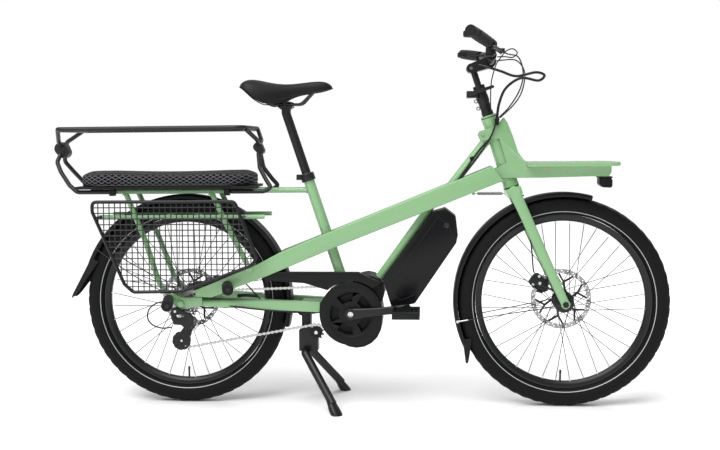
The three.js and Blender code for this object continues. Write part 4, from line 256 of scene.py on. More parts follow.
def dress(obj, bevel=0.0, segments=2, angle=38, subdivide=0, weld=False):
    """Smooth shading, rounded edges and subdivision."""
    for face in obj.data.polygons:
        face.use_smooth = True
    if weld:
        settle(obj.modifiers.new("weld", "WELD"), merge_threshold=0.00002)
    if subdivide:
        settle(obj.modifiers.new("subdivide", "SUBSURF"), levels=subdivide, render_levels=subdivide)
    if bevel:
        settle(obj.modifiers.new("bevel", "BEVEL"), width=bevel / 1000, segments=segments, limit_method="ANGLE",
               angle_limit=math.radians(angle), harden_normals=True, use_clamp_overlap=True)
    elif not subdivide:
        obj.data.set_sharp_from_angle(angle=math.radians(angle))


class Look:
    """A new material. Inputs are given by name, as values or as sockets to link."""

    def __init__(self, name, slot):
        self.mat = bpy.data.materials.new(name)
        self.mat.use_nodes = True
        self.place = self.add("ShaderNodeTexCoord").outputs["Object"]

    def feed(self, node, inputs):
        for key, value in inputs.items():
            if isinstance(value, bpy.types.NodeSocket):
                self.mat.node_tree.links.new(value, node.inputs[key])
            else:
                node.inputs[key].default_value = value
        return node

    def add(self, kind, **inputs):
        return self.feed(self.mat.node_tree.nodes.new(kind), inputs)

    def noise(self, scale, detail=2.0):
        return self.add("ShaderNodeTexNoise", Scale=scale, Detail=detail, Vector=self.place)

    def mix(self, a, b, factor, kind="MIX"):
        node = settle(self.add("ShaderNodeMix"), data_type="RGBA", blend_type=kind)
        return self.feed(node, {"A": a, "B": b, "Factor": factor}).outputs["Result"]

    def span(self, value, inputs, kind="LINEAR"):
        node = settle(self.add("ShaderNodeMapRange"), interpolation_type=kind)
        return self.feed(node, {"Value": value, **inputs}).outputs["Result"]

    def relief(self, height, strength, distance):
        return self.add("ShaderNodeBump", Height=height, Strength=strength, Distance=distance).outputs["Normal"]

    def surface(self, inputs):
        self.feed(self.mat.node_tree.nodes["Principled BSDF"], inputs)
        return self.mat


def material(name, slot, color, roughness, metallic=0.0, coat=0.0, grain=900.0, bump=0.15, vary=0.12,
             rough_vary=0.1, wear=None, sheen=0.0, shine=0.5):
    """Base look with a fine grain, slow changes of tone and gloss, and worn or dusty edges."""
    look = Look(name, slot)
    slow = look.noise(9.0, 5.0).outputs["Fac"]
    tone = look.mix((*[c * (1 - vary) for c in color], 1), (*[c * (1 + vary) for c in color], 1), slow)
    if wear:
        edge = look.add("ShaderNodeNewGeometry").outputs["Pointiness"]
        tone = look.mix(tone, (*wear, 1), look.span(edge, {"From Min": 0.53, "From Max": 0.62, "To Max": 0.6}))
    rough = {"To Min": max(0.02, roughness - rough_vary), "To Max": min(1.0, roughness + rough_vary)}
    return look.surface({
        "Base Color": tone, "Metallic": metallic, "Coat Weight": coat, "Coat Roughness": 0.12, "Sheen Weight": sheen,
        "Specular IOR Level": shine, "Roughness": look.span(slow, rough),
        "Normal": look.relief(look.noise(grain, 3.0).outputs["Fac"], bump, 0.0002)})


PAINT = material("frame_paint", "frame_paint", (0.238, 0.438, 0.215), 0.33, coat=0.35, grain=1400, bump=0.05, vary=0.05,
                 rough_vary=0.06, wear=(0.36, 0.58, 0.34))
BLACK = material("black_powder_coat", "black_paint", (0.0075, 0.0078, 0.0085), 0.36, grain=1800, bump=0.16, vary=0.2,
                 wear=(0.03, 0.031, 0.033), shine=0.35)
RAIL = material("rail_powder_coat", "rail_paint", (0.014, 0.0143, 0.0147), 0.42, grain=1500, bump=0.22, vary=0.16,
                wear=(0.04, 0.04, 0.042), shine=0.35)
PLASTIC = material("moulded_plastic", "black_plastic", (0.0052, 0.0054, 0.006), 0.45, grain=2200, bump=0.2, vary=0.15,
                   wear=(0.02, 0.02, 0.021), shine=0.22)
GLOSS = material("battery_plastic", "battery_shell", (0.0045, 0.0047, 0.0056), 0.27, grain=1200, bump=0.08, vary=0.2,
                 wear=(0.02, 0.021, 0.023), shine=0.22)
RUBBER = material("tyre_rubber", "tyre", (0.0056, 0.0057, 0.0061), 0.66, grain=1300, bump=0.3, vary=0.18,
                  wear=(0.014, 0.014, 0.015), shine=0.15)
GRIP = material("grip_rubber", "rubber", (0.008, 0.008, 0.0085), 0.75, grain=2600, bump=0.5, vary=0.18, sheen=0.04,
                shine=0.25)
SADDLE = material("saddle_cover", "saddle_skin", (0.006, 0.006, 0.0064), 0.5, grain=1700, bump=0.45, vary=0.15,
                  sheen=0.03, shine=0.24)
STEEL = material("stainless_steel", "bare_alloy", (0.36, 0.365, 0.37), 0.26, metallic=1.0, grain=2600, bump=0.1,
                 vary=0.1)
CHAIN = material("chain_steel", "chain_steel", (0.52, 0.52, 0.51), 0.3, metallic=1.0, grain=1500, bump=0.15, vary=0.2)
ALLOY = material("silver_alloy", "bare_alloy", (0.68, 0.69, 0.70), 0.3, metallic=1.0, grain=1800, bump=0.1, vary=0.06)
REFLEX = material("reflective_band", "tyre", (0.42, 0.43, 0.44), 0.35, grain=2600, bump=0.2, vary=0.1)
SHEATH = material("cable_sheath", "cable_sheath", (0.006, 0.006, 0.0065), 0.34, grain=1500, bump=0.1, vary=0.1,
                  shine=0.35)
BOARD = material("board_plastic", "black_plastic", (0.007, 0.007, 0.0075), 0.6, grain=1600, bump=0.3, vary=0.15,
                 shine=0.25)
SCREEN = material("display_glass", "black_plastic", (0.008, 0.009, 0.011), 0.08, coat=0.5, grain=200, bump=0.01,
                  vary=0.1)
SPOKE = material("black_spoke_steel", "rotor_steel", (0.028, 0.028, 0.03), 0.35, metallic=0.6, grain=2600, bump=0.1,
                 vary=0.1)
CARRIER = material("anodised_carrier", "rotor_steel", (0.015, 0.015, 0.016), 0.38, metallic=0.3, grain=2000,
                   bump=0.15, vary=0.15)
INSERT = material("tie_insert", "black_plastic", (0.5, 0.44, 0.28), 0.4, grain=1800, bump=0.1, vary=0.1)
AMBER = material("amber_reflector", "black_plastic", (0.55, 0.16, 0.01), 0.15, coat=0.6, grain=600, bump=0.3, vary=0.1)


def ribbed_lens(name, color):
    look = Look(name, "lamp_body")
    ribs = settle(look.add("ShaderNodeTexWave", Scale=120.0, Vector=look.place), bands_direction="Y")
    return look.surface({"Base Color": (*color, 1), "Transmission Weight": 0.85, "Roughness": 0.06,
                         "Normal": look.relief(ribs.outputs["Fac"], 0.3, 0.0004)})


def mesh_fabric(name, pitch=0.0203, steepness=1.9, finer_on_top=1.4):
    """Knitted spacer mesh: grey diamonds of yarn over a black core."""
    look = Look(name, "cushion_fabric")

    def calc(kind, a, b=0.0):
        return look.feed(settle(look.add("ShaderNodeMath"), operation=kind), {0: a, 1: b}).outputs[0]

    def parts(vector):
        return look.add("ShaderNodeSeparateXYZ", Vector=vector).outputs

    x, y, z = parts(look.place)
    facing = parts(look.add("ShaderNodeNewGeometry").outputs["Normal"])["Z"]
    upward = calc("GREATER_THAN", calc("ABSOLUTE", facing), 0.72)
    across = calc("ADD", calc("MULTIPLY", y, upward), calc("MULTIPLY", z, calc("SUBTRACT", 1.0, upward)))
    rate = calc("MULTIPLY", calc("ADD", calc("MULTIPLY", upward, finer_on_top), 1.0), math.pi / pitch)
    waves = [calc("ABSOLUTE", calc("SINE", calc("MULTIPLY", calc(kind, x, calc("MULTIPLY", across, steepness)), rate)))
             for kind in ("ADD", "SUBTRACT")]
    hole = look.span(calc("MINIMUM", *waves), {"From Min": 0.22, "From Max": 0.4}, "SMOOTHSTEP")
    fibre = look.noise(1500.0)
    tone = look.mix((0.165, 0.167, 0.178, 1), (0.0025, 0.0025, 0.003, 1), hole)
    height = calc("ADD", calc("SUBTRACT", 1.0, hole), calc("MULTIPLY", fibre.outputs["Fac"], 0.15))
    return look.surface({
        "Base Color": look.mix(tone, fibre.outputs["Color"], 0.5, "MULTIPLY"), "Roughness": 0.85,
        "Sheen Weight": 0.05, "Specular IOR Level": 0.15, "Normal": look.relief(height, 0.8, 0.0012)})


LENS = ribbed_lens("lamp_lens", (0.9, 0.92, 0.95))
FABRIC = mesh_fabric("spacer_mesh")


def keep(node, mat, bevel, segments=3, angle=40):
    """A CAD node that stays: rounded edges and its material."""
    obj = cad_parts[node]
    obj.data.materials.clear()
    obj.data.materials.append(mat)
    dress(obj, bevel, segments, angle, weld=True)


# Wheels
# Half of the tyre's section: radius, half width and how far a knob rises there.
TYRE_HALF = [(256.5, 10, 0), (257.5, 14, 0), (262, 19.5, 0), (268, 24, 0), (275, 26.4, 0), (282, 27, 0), (289, 26, 0),
             (295, 23.6, 0), (299.5, 21, 0.8), (301.5, 18.5, 1.6), (303.6, 14, 1.5), (304.2, 12.6, 0), (305.6, 8, 1.5),
             (306.6, 4.5, 1.5), (306.0, 3.6, 0), (306.2, 0, 1.6)]
TREAD_STEPS, SPOKES_A_SIDE, ROOT_RADIUS, NIPPLE_RADIUS = 270, 18, 26.5, 238.5
DISC_LOW, DISC_HIGH = 39.1, 40.9  # faces of the brake discs


def tyre(part, hub, body):
    profile = [(r, -y, knob) for r, y, knob in TYRE_HALF] + [(r, y, knob) for r, y, knob in TYRE_HALF[-2::-1]]
    rings = []
    for k in range(TREAD_STEPS):
        ring = []
        for r, y, knob in profile:
            raised = y == 0 or (k + 2 * (y > 0) + (abs(y) > 13)) % 5 < 3
            ring.append(at(polar(hub, r + knob * raised, 360 * k / TREAD_STEPS), y))
        rings.append(ring)
    Shape().rings(rings, closed=True).make(part + "_tyre_skin", RUBBER, part + "_tyre", body=body, angle=50)
    band = Shape()
    for side in SIDES:
        band.lathe([(264.5, side * 21.8), (266.3, side * 23.1), (266.1, side * 23.5), (264.2, side * 22.2)], hub, 120)
    band.make(part + "_tyre_skin_band", REFLEX, body=body, angle=60)


def wheel(part, hub, body, flange, right, left, valve_angle):
    name = part + "_wheel_built"
    rim = mirror([(237, 4), (238.5, 6), (246, 11), (252, 12.3), (255.4, 12.3)])
    Shape().lathe(rim, hub, 120).make(name + "_rim", BLACK, part + "_wheel", body=body)
    f = flange / 2
    Shape().lathe([
        (6.4, -right), (12, -right), (15, 3 - right), (16.5, -f - 6), (29.5, -f - 2), (30, -f), (29.5, -f + 2),
        (15, -f + 6), (13.5, 0), (15, f - 6), (29.5, f - 2), (30, f), (29.5, f + 2), (16.5, f + 6), (15, left - 3),
        (12, left), (6.4, left)], hub, 48).make(name + "_hub", BLACK, body=body)
    spokes, nipples = Shape(), Shape()
    for side in SIDES:
        for k in range(SPOKES_A_SIDE):
            turn = 360 / SPOKES_A_SIDE * k + side * 5
            lean, shift = (58, 1.6) if k % 2 else (-58, -1.6)
            root = at(polar(hub, ROOT_RADIUS, turn + lean), side * f + shift)
            tip = at(polar(hub, NIPPLE_RADIUS, turn), side * 3 + shift / 3)
            way = (tip - root).normalized()
            spokes.rod(root, tip, 1.05, sides=8)
            nipples.rod(tip - way * 9, tip + way, 1.9, sides=8)
            spokes.rod(root - ACROSS * 2.2, root + ACROSS * 2.2, 1.6, sides=8)
    spokes.make(name + "_spokes", SPOKE, body=body)
    nipples.make(name + "_nipples", ALLOY, body=body)
    foot, mid, nut, end = (at(polar(hub, radius, valve_angle)) for radius in (238, 212, 214, 205))
    valve = Shape().rod(foot, mid, 2.9, sides=14).rod(nut, end, 3.6, 3.0, sides=14)
    valve.make(name + "_valve", BLACK, body=body, slot="black_plastic")


def rotor(part, hub, body):
    name = part + "_rotor_disc"
    outer = [polar(hub, 89.6 if k % 6 else 88.0, 3 * k) for k in range(120)]
    inner = [polar(hub, 75.5 if k % 5 else 77.7, 6 * k) for k in range(60)][::-1]
    holes = [[polar(polar(hub, radius, 12 * k + off), size, -45 * j) for j in range(8)]
             for k in range(30) for radius, off, size in ((79.5, 0, 1.9), (84.2, 4, 2.2))]
    disc = Shape().slab(outer, DISC_LOW, DISC_HIGH, [inner] + holes)
    disc.make(name, STEEL, part + "_rotor", body=body, slot="rotor_steel")
    carrier, bolts = Shape(), Shape()
    for k in range(6):
        arm = ((24, -9), (24, 9), (52, 25), (76.5, 37), (76.5, 32), (50, 16))
        brace = ((50, 17), (53, 24), (76.5, 4), (76.5, -1))
        for outline, inset in ((arm, 0.1), (brace, 0.15)):
            carrier.slab([polar(hub, r, 60 * k + a) for r, a in outline], DISC_LOW + inset, DISC_HIGH - inset)
        bolts.drum(polar(hub, 22, 60 * k), 3.2, 40.8, 43.0, 6)
    carrier.lathe([(17.6, 39), (27, 39), (27, 41), (17.6, 41)], hub, 48)
    carrier.make(name + "_carrier", CARRIER, body=body, bevel=0.2)
    bolts.lathe([(12, 41), (19.5, 41), (18.5, 44), (12, 44)], hub, 32)
    bolts.make(name + "_bolts", BLACK, body=body)


for part, hub, flange, right, left, valve_angle in (
        ("rear", REAR, 50, 39.7, 70.7, 270), ("front", FRONT, 52, 48.7, 48.7, 268)):
    whole = part + "_wheel_set"
    tyre(part, hub, whole)
    wheel(part, hub, whole, flange, right, left, valve_angle)
    rotor(part, hub, whole)


# Fenders
def fender(part, hub, body, start, end, flap, flare, bosses):
    """The shell over a wheel. Its rubber flap leaves the end at an angle, the flare."""
    outer = [(308.8, -30.2), (312, -31), (316.5, -30.6), (320, -27), (321.4, -20), (321.9, -10), (322, 0)]
    outer += [(r, -y) for r, y in outer[-2::-1]]
    inner = [(r - (2.6 if abs(y) < 29 else 0.4), y * (0.91 if abs(y) > 25 else 0.94)) for r, y in outer][::-1]
    steps = 90
    shell = Shape().rings([[at(polar(hub, r, start + (end - start) * k / steps), y) for r, y in outer + inner]
                           for k in range(steps + 1)])
    for a, b, r in bosses:
        shell.rod(at(a), at(b), r, sides=20)
    shell.make(part + "_fender_shell", PLASTIC, part + "_fender", body=body, angle=32)
    along = at(polar((0, 0), 1, end - flare + 90))
    across = Vector((along.z, 0, -along.x))
    root = at(polar(hub, 317.5, end))
    rings = []
    for k in range(25):
        t = k / 24
        base = root + along * (-24 + (flap + 23) * t) + across * (2.5 * t * t)
        tip = math.sqrt(max(0.0, 1 - (max(0.0, t - 0.88) / 0.16) ** 2))
        half = (30.8 - 4.5 * t * t) * tip
        skirt = 21 * (1 - t) ** 0.9 + 2.5 * tip
        outer = [(-half, -skirt), (-half, -1), (-half + 1.4, 1.6), (-half + 5, 3.0), (-half / 2, 3.5), (0, 3.7)]
        outer += [(-y, rise) for y, rise in outer[-2::-1]]
        inner = [(y * (1 - 1.9 / half), rise - (1.9 if abs(y) < half - 1 else 0.2)) for y, rise in outer[::-1]]
        rings.append([base + across * rise + ACROSS * y for y, rise in outer + inner])
    Shape().rings(rings).make(part + "_fender_shell_flap", GRIP, body=body, angle=35)


fender("rear", REAR, "frame", -14, 160, 118, 8, [((REAR[0], 629), (REAR[0], 631), 8), ((-241, 296), (-211.5, 296), 8)])
fender("front", FRONT, "steering", 75, 205, 51, 15, [(head_point(-24.3), head_point(-40), 8)])

front_stays, rear_stays, clips = Shape(), Shape(), Shape()
for side in SIDES:
    clip = at(polar(FRONT, 309, 190.5), side * 31.6)
    route = smooth([(FRONT[0] - 8, side * 63, FRONT[1] - 1), at(polar(FRONT, 60, 191), side * 60),
                    at(polar(FRONT, 180, 190.5), side * 44), clip], 8)
    front_stays.sweep(route, 1.5, 8)
    clips.sweep([route[-3].lerp(clip, 0.2), clip, clip + (clip - route[-2]).normalized() * 7], 1.9, 10)
    clips.drum(polar(FRONT, 314, 190.5), 4.2, side * 30.6, side * 33.6, 20)
    rear_stays.hose([(-590, side * 72, 330), at(polar(REAR, 170, 152), side * 52),
                     at(polar(REAR, 312, 150), side * 30.5)], 1.5, 8, 8)
front_stays.make("front_fender_stays", SPOKE, body="steering")
clips.make("front_stay_clips", ALLOY, body="steering")
rear_stays.make("rear_fender_stays", SPOKE)

# Main frame
keep("right_beam", PAINT, 4.5, 4)
keep("left_beam", PAINT, 4.5, 4)
keep("chain_stays", PAINT, 1.6)
LUG, LUG_HALF, WEB_HALF = 10.5, 23, 22.7  # radius and half width of the lugs between the beams, and of the web
STRUT_FOOT, STRUT_TOP, FRONT_LUG = (216.05, 624.44), (361.01, 808.65), (306.16, 660.74)
DOWN_TOP, DOWN_FOOT = (195.34, 616.09), (21.5, 377.0)

head = Shape().rod(at(STRUT_FOOT), at(STRUT_TOP), 13.5, sides=28).rod(at(FRONT_LUG), at(STRUT_FOOT), 6.7, sides=16)
head.sweep([at(head_point(u)) for u in (0, 3, 3.01, 11, 11.01, 14, 196, 199, 199.01, 221.9)],
           [22.2, 23, 23, 23, 23, 22.4, 22.4, 23, 23, 23], 40)
for spot in (STRUT_FOOT, FRONT_LUG):
    head.drum(spot, LUG, -LUG_HALF, LUG_HALF, 20)
head.slab([head_point(22, -4), head_point(70, -4), (289.2, 664.8), (297.0, 645.3)], -WEB_HALF, WEB_HALF)
head.box((298, -4, 622.4), (305.8, 4, 662))
head.make("head_tube_built", PAINT, "head_tube", bevel=0.8, angle=45)

down = Shape().rod(at(DOWN_FOOT), at(DOWN_TOP), 12.5, sides=28).drum(DOWN_TOP, LUG, -LUG_HALF, LUG_HALF, 20)
down.make("down_tube_built", PAINT, "down_tube", bevel=0.6, angle=45)

seat = Shape().rod(at(seat_point(92.3)), at(seat_point(431)), 16, sides=32)
seat.rod(at(seat_point(431)), at(seat_point(432)), 16, 15.6, sides=32)
seat.rod(at((-178.31, RACK_TOP)), at((-789.5, RACK_TOP)), 8.5, sides=22)
seat.drum((-127.11, 486.17), LUG, -LUG_HALF, LUG_HALF, 20)
for x in (-751.5, -561.5, -441.5):
    seat.drum((x, RACK_TOP), 6, -49, 49, 18)
seat.make("seat_tube_built", PAINT, "seat_tube", bevel=0.5, angle=50)

welds = Shape()
welds.bead(at(STRUT_FOOT).lerp(at(STRUT_TOP), 0.885), at(STRUT_TOP) - at(STRUT_FOOT), 13.4)
welds.bead(at(seat_point(94)), at(SEAT_WAY), 16.2)
welds.bead(at((-193.5, RACK_TOP)), (1, 0, 0), 8.8, 1.5, 28)


def rack(side, x, z, out=0.0):
    """A point on the rack's side frame, which spreads downwards."""
    return Vector((x, side * (RACK_HALF + (RACK_TOP - z) * RACK_LEAN + out), z))


for side, word in HANDS:
    shape = Shape()
    for z, end in ((RACK_TOP, RACK_BACK), (RACK_LOW, RACK_BACK + 26)):
        shape.pipe([rack(side, end, z), rack(side, RACK_NOSE, z)], RACK_PIPE, 1, 18)
    for leg in (((-731.5, RACK_TOP), (-668.5, 493), (-626.5, 370), RACK_FOOT),
                ((-471.5, RACK_TOP), (-431.5, 556), (-362, 424))):
        shape.pipe([rack(side, x, z) for x, z in leg], 8, 60, 20, 8)
    shape.drum(RACK_FOOT, 12, side * 77.4, side * 88.4, 28)
    shape.drum((-356.5, 413), 11, side * 75.5, side * 78.5, 28)
    for x, step in ((RACK_BACK, -1.2), (RACK_NOSE, 1.2)):
        shape.rod(rack(side, x, RACK_TOP), rack(side, x + step, RACK_TOP), RACK_PIPE, 4.8, sides=18)
    shape.make(word + "_rack_built", PAINT, word + "_rack_frame", bevel=0.4, angle=50)
    for x, z in ((-731.5, RACK_TOP), (-471.5, RACK_TOP), (-701, 568), (-437, 568)):
        welds.bead(rack(side, x, z - RACK_PIPE), (0.4, 0, -1), 8.2, 1.3, 26)
welds.make("weld_beads", PAINT, angle=80)

# Bench
keep("seat_board", BOARD, 1.6)
CUSHION_X, CUSHION_LENGTH, CUSHION_WIDTH, CUSHION_CORNER = -608.5, 548, 196, 82
CUSHION_RINGS = (  # size, height and crown, from the underside to the top
    (0.30, 657.4, 0), (0.72, 657.4, 0), (0.925, 657.6, 0), (0.962, 660, 0), (0.972, 667, 0), (0.968, 676, 0),
    (0.972, 685, 0), (0.955, 692, 0), (0.90, 694.5, 1), (0.7, 695.5, 2.5), (0.4, 696, 3), (0.15, 696, 3.2))


def cushion_ring(size, level, crown):
    """A rounded oblong whose long sides draw in by 5 mm towards their middle."""
    straight, half = CUSHION_LENGTH / 2 - CUSHION_CORNER, CUSHION_WIDTH / 2
    ring = []
    for sx, sy, start in ((1, 1, 0), (-1, 1, 90), (-1, -1, 180), (1, -1, 270)):
        ring += arc((sx * straight, sy * (half - CUSHION_CORNER)), CUSHION_CORNER, start, start + 90, 14)
        if sx * sy > 0:
            for share in (1 - k / 6 for k in range(1, 12)):
                ring.append((sx * share * straight, sy * (half - 5 * (1 - share * share))))
    return [Vector((CUSHION_X + x * size, y * size, level + crown * max(0, 1 - (y / half) ** 2))) for x, y in ring]


def apply_modifiers(obj):
    graph = bpy.context.evaluated_depsgraph_get()
    graph.update()
    mesh = bpy.data.meshes.new_from_object(obj.evaluated_get(graph))
    obj.modifiers.clear()
    obj.data = mesh


def puff(obj, voxel, pressure, frames, cap):
    """Blows a pad up with cloth pressure, with no point moved further than the cap."""
    settle(obj.modifiers.new("remesh", "REMESH"), mode="VOXEL", voxel_size=voxel)
    apply_modifiers(obj)
    rest = [v.co.copy() for v in obj.data.vertices]
    cloth = obj.modifiers.new("cloth", "CLOTH")
    settle(cloth.settings, use_pressure=True, uniform_pressure_force=pressure, tension_stiffness=30,
           compression_stiffness=30)
    cloth.settings.effector_weights.gravity = 0
    settle(cloth.point_cache, frame_start=1, frame_end=frames)
    scene = bpy.context.scene
    for frame_number in range(1, frames + 1):
        scene.frame_set(frame_number)
    apply_modifiers(obj)
    scene.frame_set(1)
    for vertex, start in zip(obj.data.vertices, rest):
        move = vertex.co - start
        if move.length > cap:
            move = move.normalized() * cap
        vertex.co = start + move


pad = Shape().rings([cushion_ring(*row) for row in CUSHION_RINGS])
pad = pad.make("bench_cushion", FABRIC, "passenger_cushion")
puff(pad, voxel=0.005, pressure=4.0, frames=16, cap=0.006)
low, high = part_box("passenger_cushion")
for vertex in pad.data.vertices:
    co = vertex.co
    if co.z < low.z + 0.004:
        co.z = low.z + 0.0003
    co.z = min(co.z, high.z - 0.0005)
    sag = math.sin(math.pi * min(max((co.x - low.x) / (high.x - low.x), 0), 1))
    if co.z > low.z + 0.03:
        co.z -= 0.0045 * sag * sag
dress(pad, subdivide=1)

piping = Shape().sweep(cushion_ring(0.958, 660.5, 0), 1.6, 8, closed=True)
piping.make("cushion_piping", SHEATH, slot="cushion_fabric")
clamps = Shape()
for x in (-764, -419):
    for side in SIDES:
        clamps.box((x - 8, side * 63.2, 629), (x + 8, side * 82, 648.2))
clamps.make("bench_clamps", PLASTIC, bevel=1.5)

# Passenger rail
RAIL_REAR, RAIL_FRONT, RAIL_HALF, RAIL_TOP, LEG_PIPE = -913.5, -361.5, 122, 826, 6.5
LEG_Y, LEG_Z = 69.3, RACK_TOP  # where the legs lie along the rack
Shape().pipe([(RAIL_REAR, -RAIL_HALF, RAIL_TOP), (RAIL_FRONT, -RAIL_HALF, RAIL_TOP), (RAIL_FRONT, RAIL_HALF, RAIL_TOP),
              (RAIL_REAR, RAIL_HALF, RAIL_TOP)], 7.6, 26, 20, 8, closed=True).make(
    "passenger_rail_tube", RAIL, "passenger_rail", angle=38)
for end, node, tip, plate_x, half, route in (
        (-1, "rear_rail_legs", RAIL_REAR, -941.5, 26, [
            (30, 16, 752), (36, 30, 730), (17, 48, 700), (-14, 62, 661), (-40, LEG_Y, LEG_Z), (-141, LEG_Y, LEG_Z)]),
        (1, "front_rail_legs", RAIL_FRONT, -335.5, 20, [
            (26, 16, 752), (32, 30, 708), (55, 50, 672), (72, 66, 650), (50, LEG_Y, LEG_Z), (-46, LEG_Y, LEG_Z)])):
    legs, bolts = Shape(), Shape()
    for side in SIDES:
        legs.pipe([(tip + end * 4, side * 97, 823), (plate_x, side * 34, 791), (plate_x, side * 4, 772)],
                  LEG_PIPE, 26, 18, 6)
        legs.pipe([(tip + end * out, side * y, z) for out, y, z in route], LEG_PIPE, 24, 18, 8)
        last = Vector((tip + end * route[-1][0], side * LEG_Y, LEG_Z))
        legs.rod(last, last - Vector((end * 1.5, 0, 0)), LEG_PIPE, 4.5, sides=18)
    legs.make(node + "_tubes", RAIL, node, angle=38)
    knuckle = link_outline((plate_x - 3, 770), half - 6, (plate_x + 5, 758), half - 9, 16)
    Shape().slab(knuckle, -16.5, 16.5).make(node + "_knuckle", RAIL, bevel=4, segments=3)
    for spot in ((plate_x - 4, 775), (plate_x + 6, 757)):
        bolts.drum(spot, 5.0, -19.0, 19.0, 20).drum(spot, 2.6, -19.6, 19.6, 6)
    bolts.make(node + "_bolts", BLACK, bevel=0.5)

# Net panel
NET_Y, NET_PITCH = -110, 16.6
NET = [(-813.5, 613), (-389.71, 613), (-327.5, 450.03), (-340.62, 427.5), (-549.6, 350.92), (-694.43, 348),
       (-721.16, 371.85), (-813.5, 583.85)]


def crossings(axis, value):
    """Where a line across the net meets its rim."""
    found = []
    for a, b in zip(NET, NET[1:] + NET[:1]):
        if (a[axis] - value) * (b[axis] - value) < 0:
            found.append(a[1 - axis] + (b[1 - axis] - a[1 - axis]) * (value - a[axis]) / (b[axis] - a[axis]))
    return sorted(found)


rim = Shape().pipe([at(p, NET_Y) for p in NET], 5, 18, 16, 6, closed=True)
for x, z in ((-803.5, RACK_LOW), (-371.5, RACK_LOW), (-609.5, 348)):
    rim.rod(rack(-1, x, z, 3), at((x, z), NET_Y), 5, sides=16)
rim.make("net_rim", BLACK, "right_net_panel", slot="rail_paint")
wires = Shape()
for axis, y in ((0, NET_Y + 1.4), (1, NET_Y - 1.4)):
    values = [p[axis] for p in NET]
    low, reach = min(values), max(values) - min(values)
    count = round(reach / NET_PITCH)
    for value in (low + reach * k / count for k in range(1, count)):
        ends = crossings(axis, value)
        if len(ends) > 1:
            a, b = ((value, e) if axis == 0 else (e, value) for e in (ends[0], ends[-1]))
            wires.rod(at(a, y), at(b, y), 1.6, sides=10)
wires.make("net_wires", BLACK, slot="rail_paint", angle=38)

# Foot pegs
for place, near, x, z in (("front", 56.6, -427.5, 362.5), ("rear", 89.2, -596.5, 321)):
    for side, word in HANDS:
        node = f"{place}_{word}_peg"
        low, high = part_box(node)
        far = max(abs(low.y), abs(high.y)) * 1000
        lean = 27 * (far - near) / (far - near + 8)  # forwards, from root to tip
        start, end = Vector((x, side * near, z)), Vector((x + lean, side * (far - 0.6), z))
        path, sizes = [], []
        for k in range(53):
            t = k / 52
            path.append(start.lerp(end, t))
            rib = 0.5 if k % 4 in (1, 2) and t > 0.3 else 0
            sizes.append((14.6 if t < 0.26 and near < 80 else 15.9) + rib - 1.5 * max(0, (t - 0.96) / 0.04))
        Shape().sweep(path, sizes, 30).make(node + "_sleeve", GRIP, node, angle=60)
        # The black disc on the sleeve's end is painted shade: it stands for the dark hole in the peg's end.
        cap = Shape().rod(end, end + (end - start).normalized() * 0.5, 5.5, sides=24)
        cap.make(node + "_bolt", BLACK)

# Drive
keep("drive_motor", PLASTIC, 3.5)
keep("chain_guard", PLASTIC, 1.6)


def caliper(part, hub, body, angle, face):
    """Two bolted halves over the disc, with a piston cap and pads."""
    name = part + "_caliper_built"
    spot = polar(hub, DISC_BAND, angle)
    out = polar((0, 0), 1, angle)

    def turned(points):
        return [(spot[0] + out[0] * u - out[1] * v, spot[1] + out[1] * u + out[0] * v) for u, v in points]

    piston, = turned([(-4, 0)])
    half = turned([(-19, -11), (-20.2, -5), (-20.2, 5), (-19, 11), (-9, 19), (4, 21.6), (17, 21), (25, 15), (25.6, 4),
                   (25.6, -6), (24, -16), (16, -21.4), (3, -21.6), (-10, -18)])
    shape = Shape().slab(half, 31.2, 37.6).slab(half, 42.4, face - 0.4)
    shape.slab(turned([(10.5, -17), (10.5, 17), (24, 14), (24, -15)]), 37.4, 42.6)
    shape.lathe([(0.4, 30.3), (9.6, 30.3), (11.4, 31.4), (11.4, 33), (0.4, 33)], piston, 36)
    bracket = ((44, 6), (60, 22), (80, 22), (92, 8), (86, -16), (62, -16))
    shape.slab([polar(hub, r, angle + a) for r, a in bracket], 42.6, 46.4)
    shape.make(name, BLACK, part + "_caliper", body=body, bevel=1.2, segments=3)
    trim = Shape().drum(piston, 5.2, 30.0, 30.6, 6)
    for bolt in turned([(10, -15.5), (10, 15.5)]):
        trim.drum(bolt, 4.2, 30.6, 31.6, 24).drum(bolt, 2.1, 30.4, 31.0, 6)
    trim.make(name + "_screws", ALLOY, body=body, bevel=0.3)
    pad = turned([(-14, -11), (-14, 11), (8, 13), (8, -13)])
    pads = Shape().slab(pad, 37.6, 38.9).slab(pad, 41.1, 42.4)
    pads.make(name + "_pads", CHAIN, body=body, slot="rotor_steel", bevel=0.3)


caliper("rear", REAR, "frame", REAR_CALIPER, 47.7)
caliper("front", FRONT, "steering", FRONT_CALIPER, 48.7)
MOTOR = (-52, 272)  # middle of its round casing
cover = Shape()
for y, step in ((-44, -2.2), (48, 2.2)):
    cover.lathe([(58, y), (66, y), (66, y + step), (62, y + step * 1.3), (58, y + step)], MOTOR, 64)
    for k in range(6):
        cover.drum(polar(MOTOR, 84 if k % 2 else 80, 60 * k + 25), 4, y, y + step, 18)
cover.make("motor_trim", PLASTIC, slot="motor_casing", bevel=0.5)


def sprocket(shape, centre, pitch_radius, teeth, y0, y1, holes=()):
    """A toothed plate."""
    shape.slab([polar(centre, pitch_radius + rise, 360 * (k + share) / teeth) for k in range(teeth)
                for share, rise in ((0.0, -3.2), (0.22, -2.4), (0.40, 2.6), (0.60, 2.6), (0.78, -2.4))], y0, y1, holes)


def ring_windows(centre, inner, outer, count, share, start=0.0):
    """Openings between the spokes of a ring."""
    step = 360 / count
    return [(arc(centre, outer, a, a + step * share, 8) + arc(centre, inner, a + step * share, a, 5))[::-1]
            for a in (start + step * k for k in range(count))]


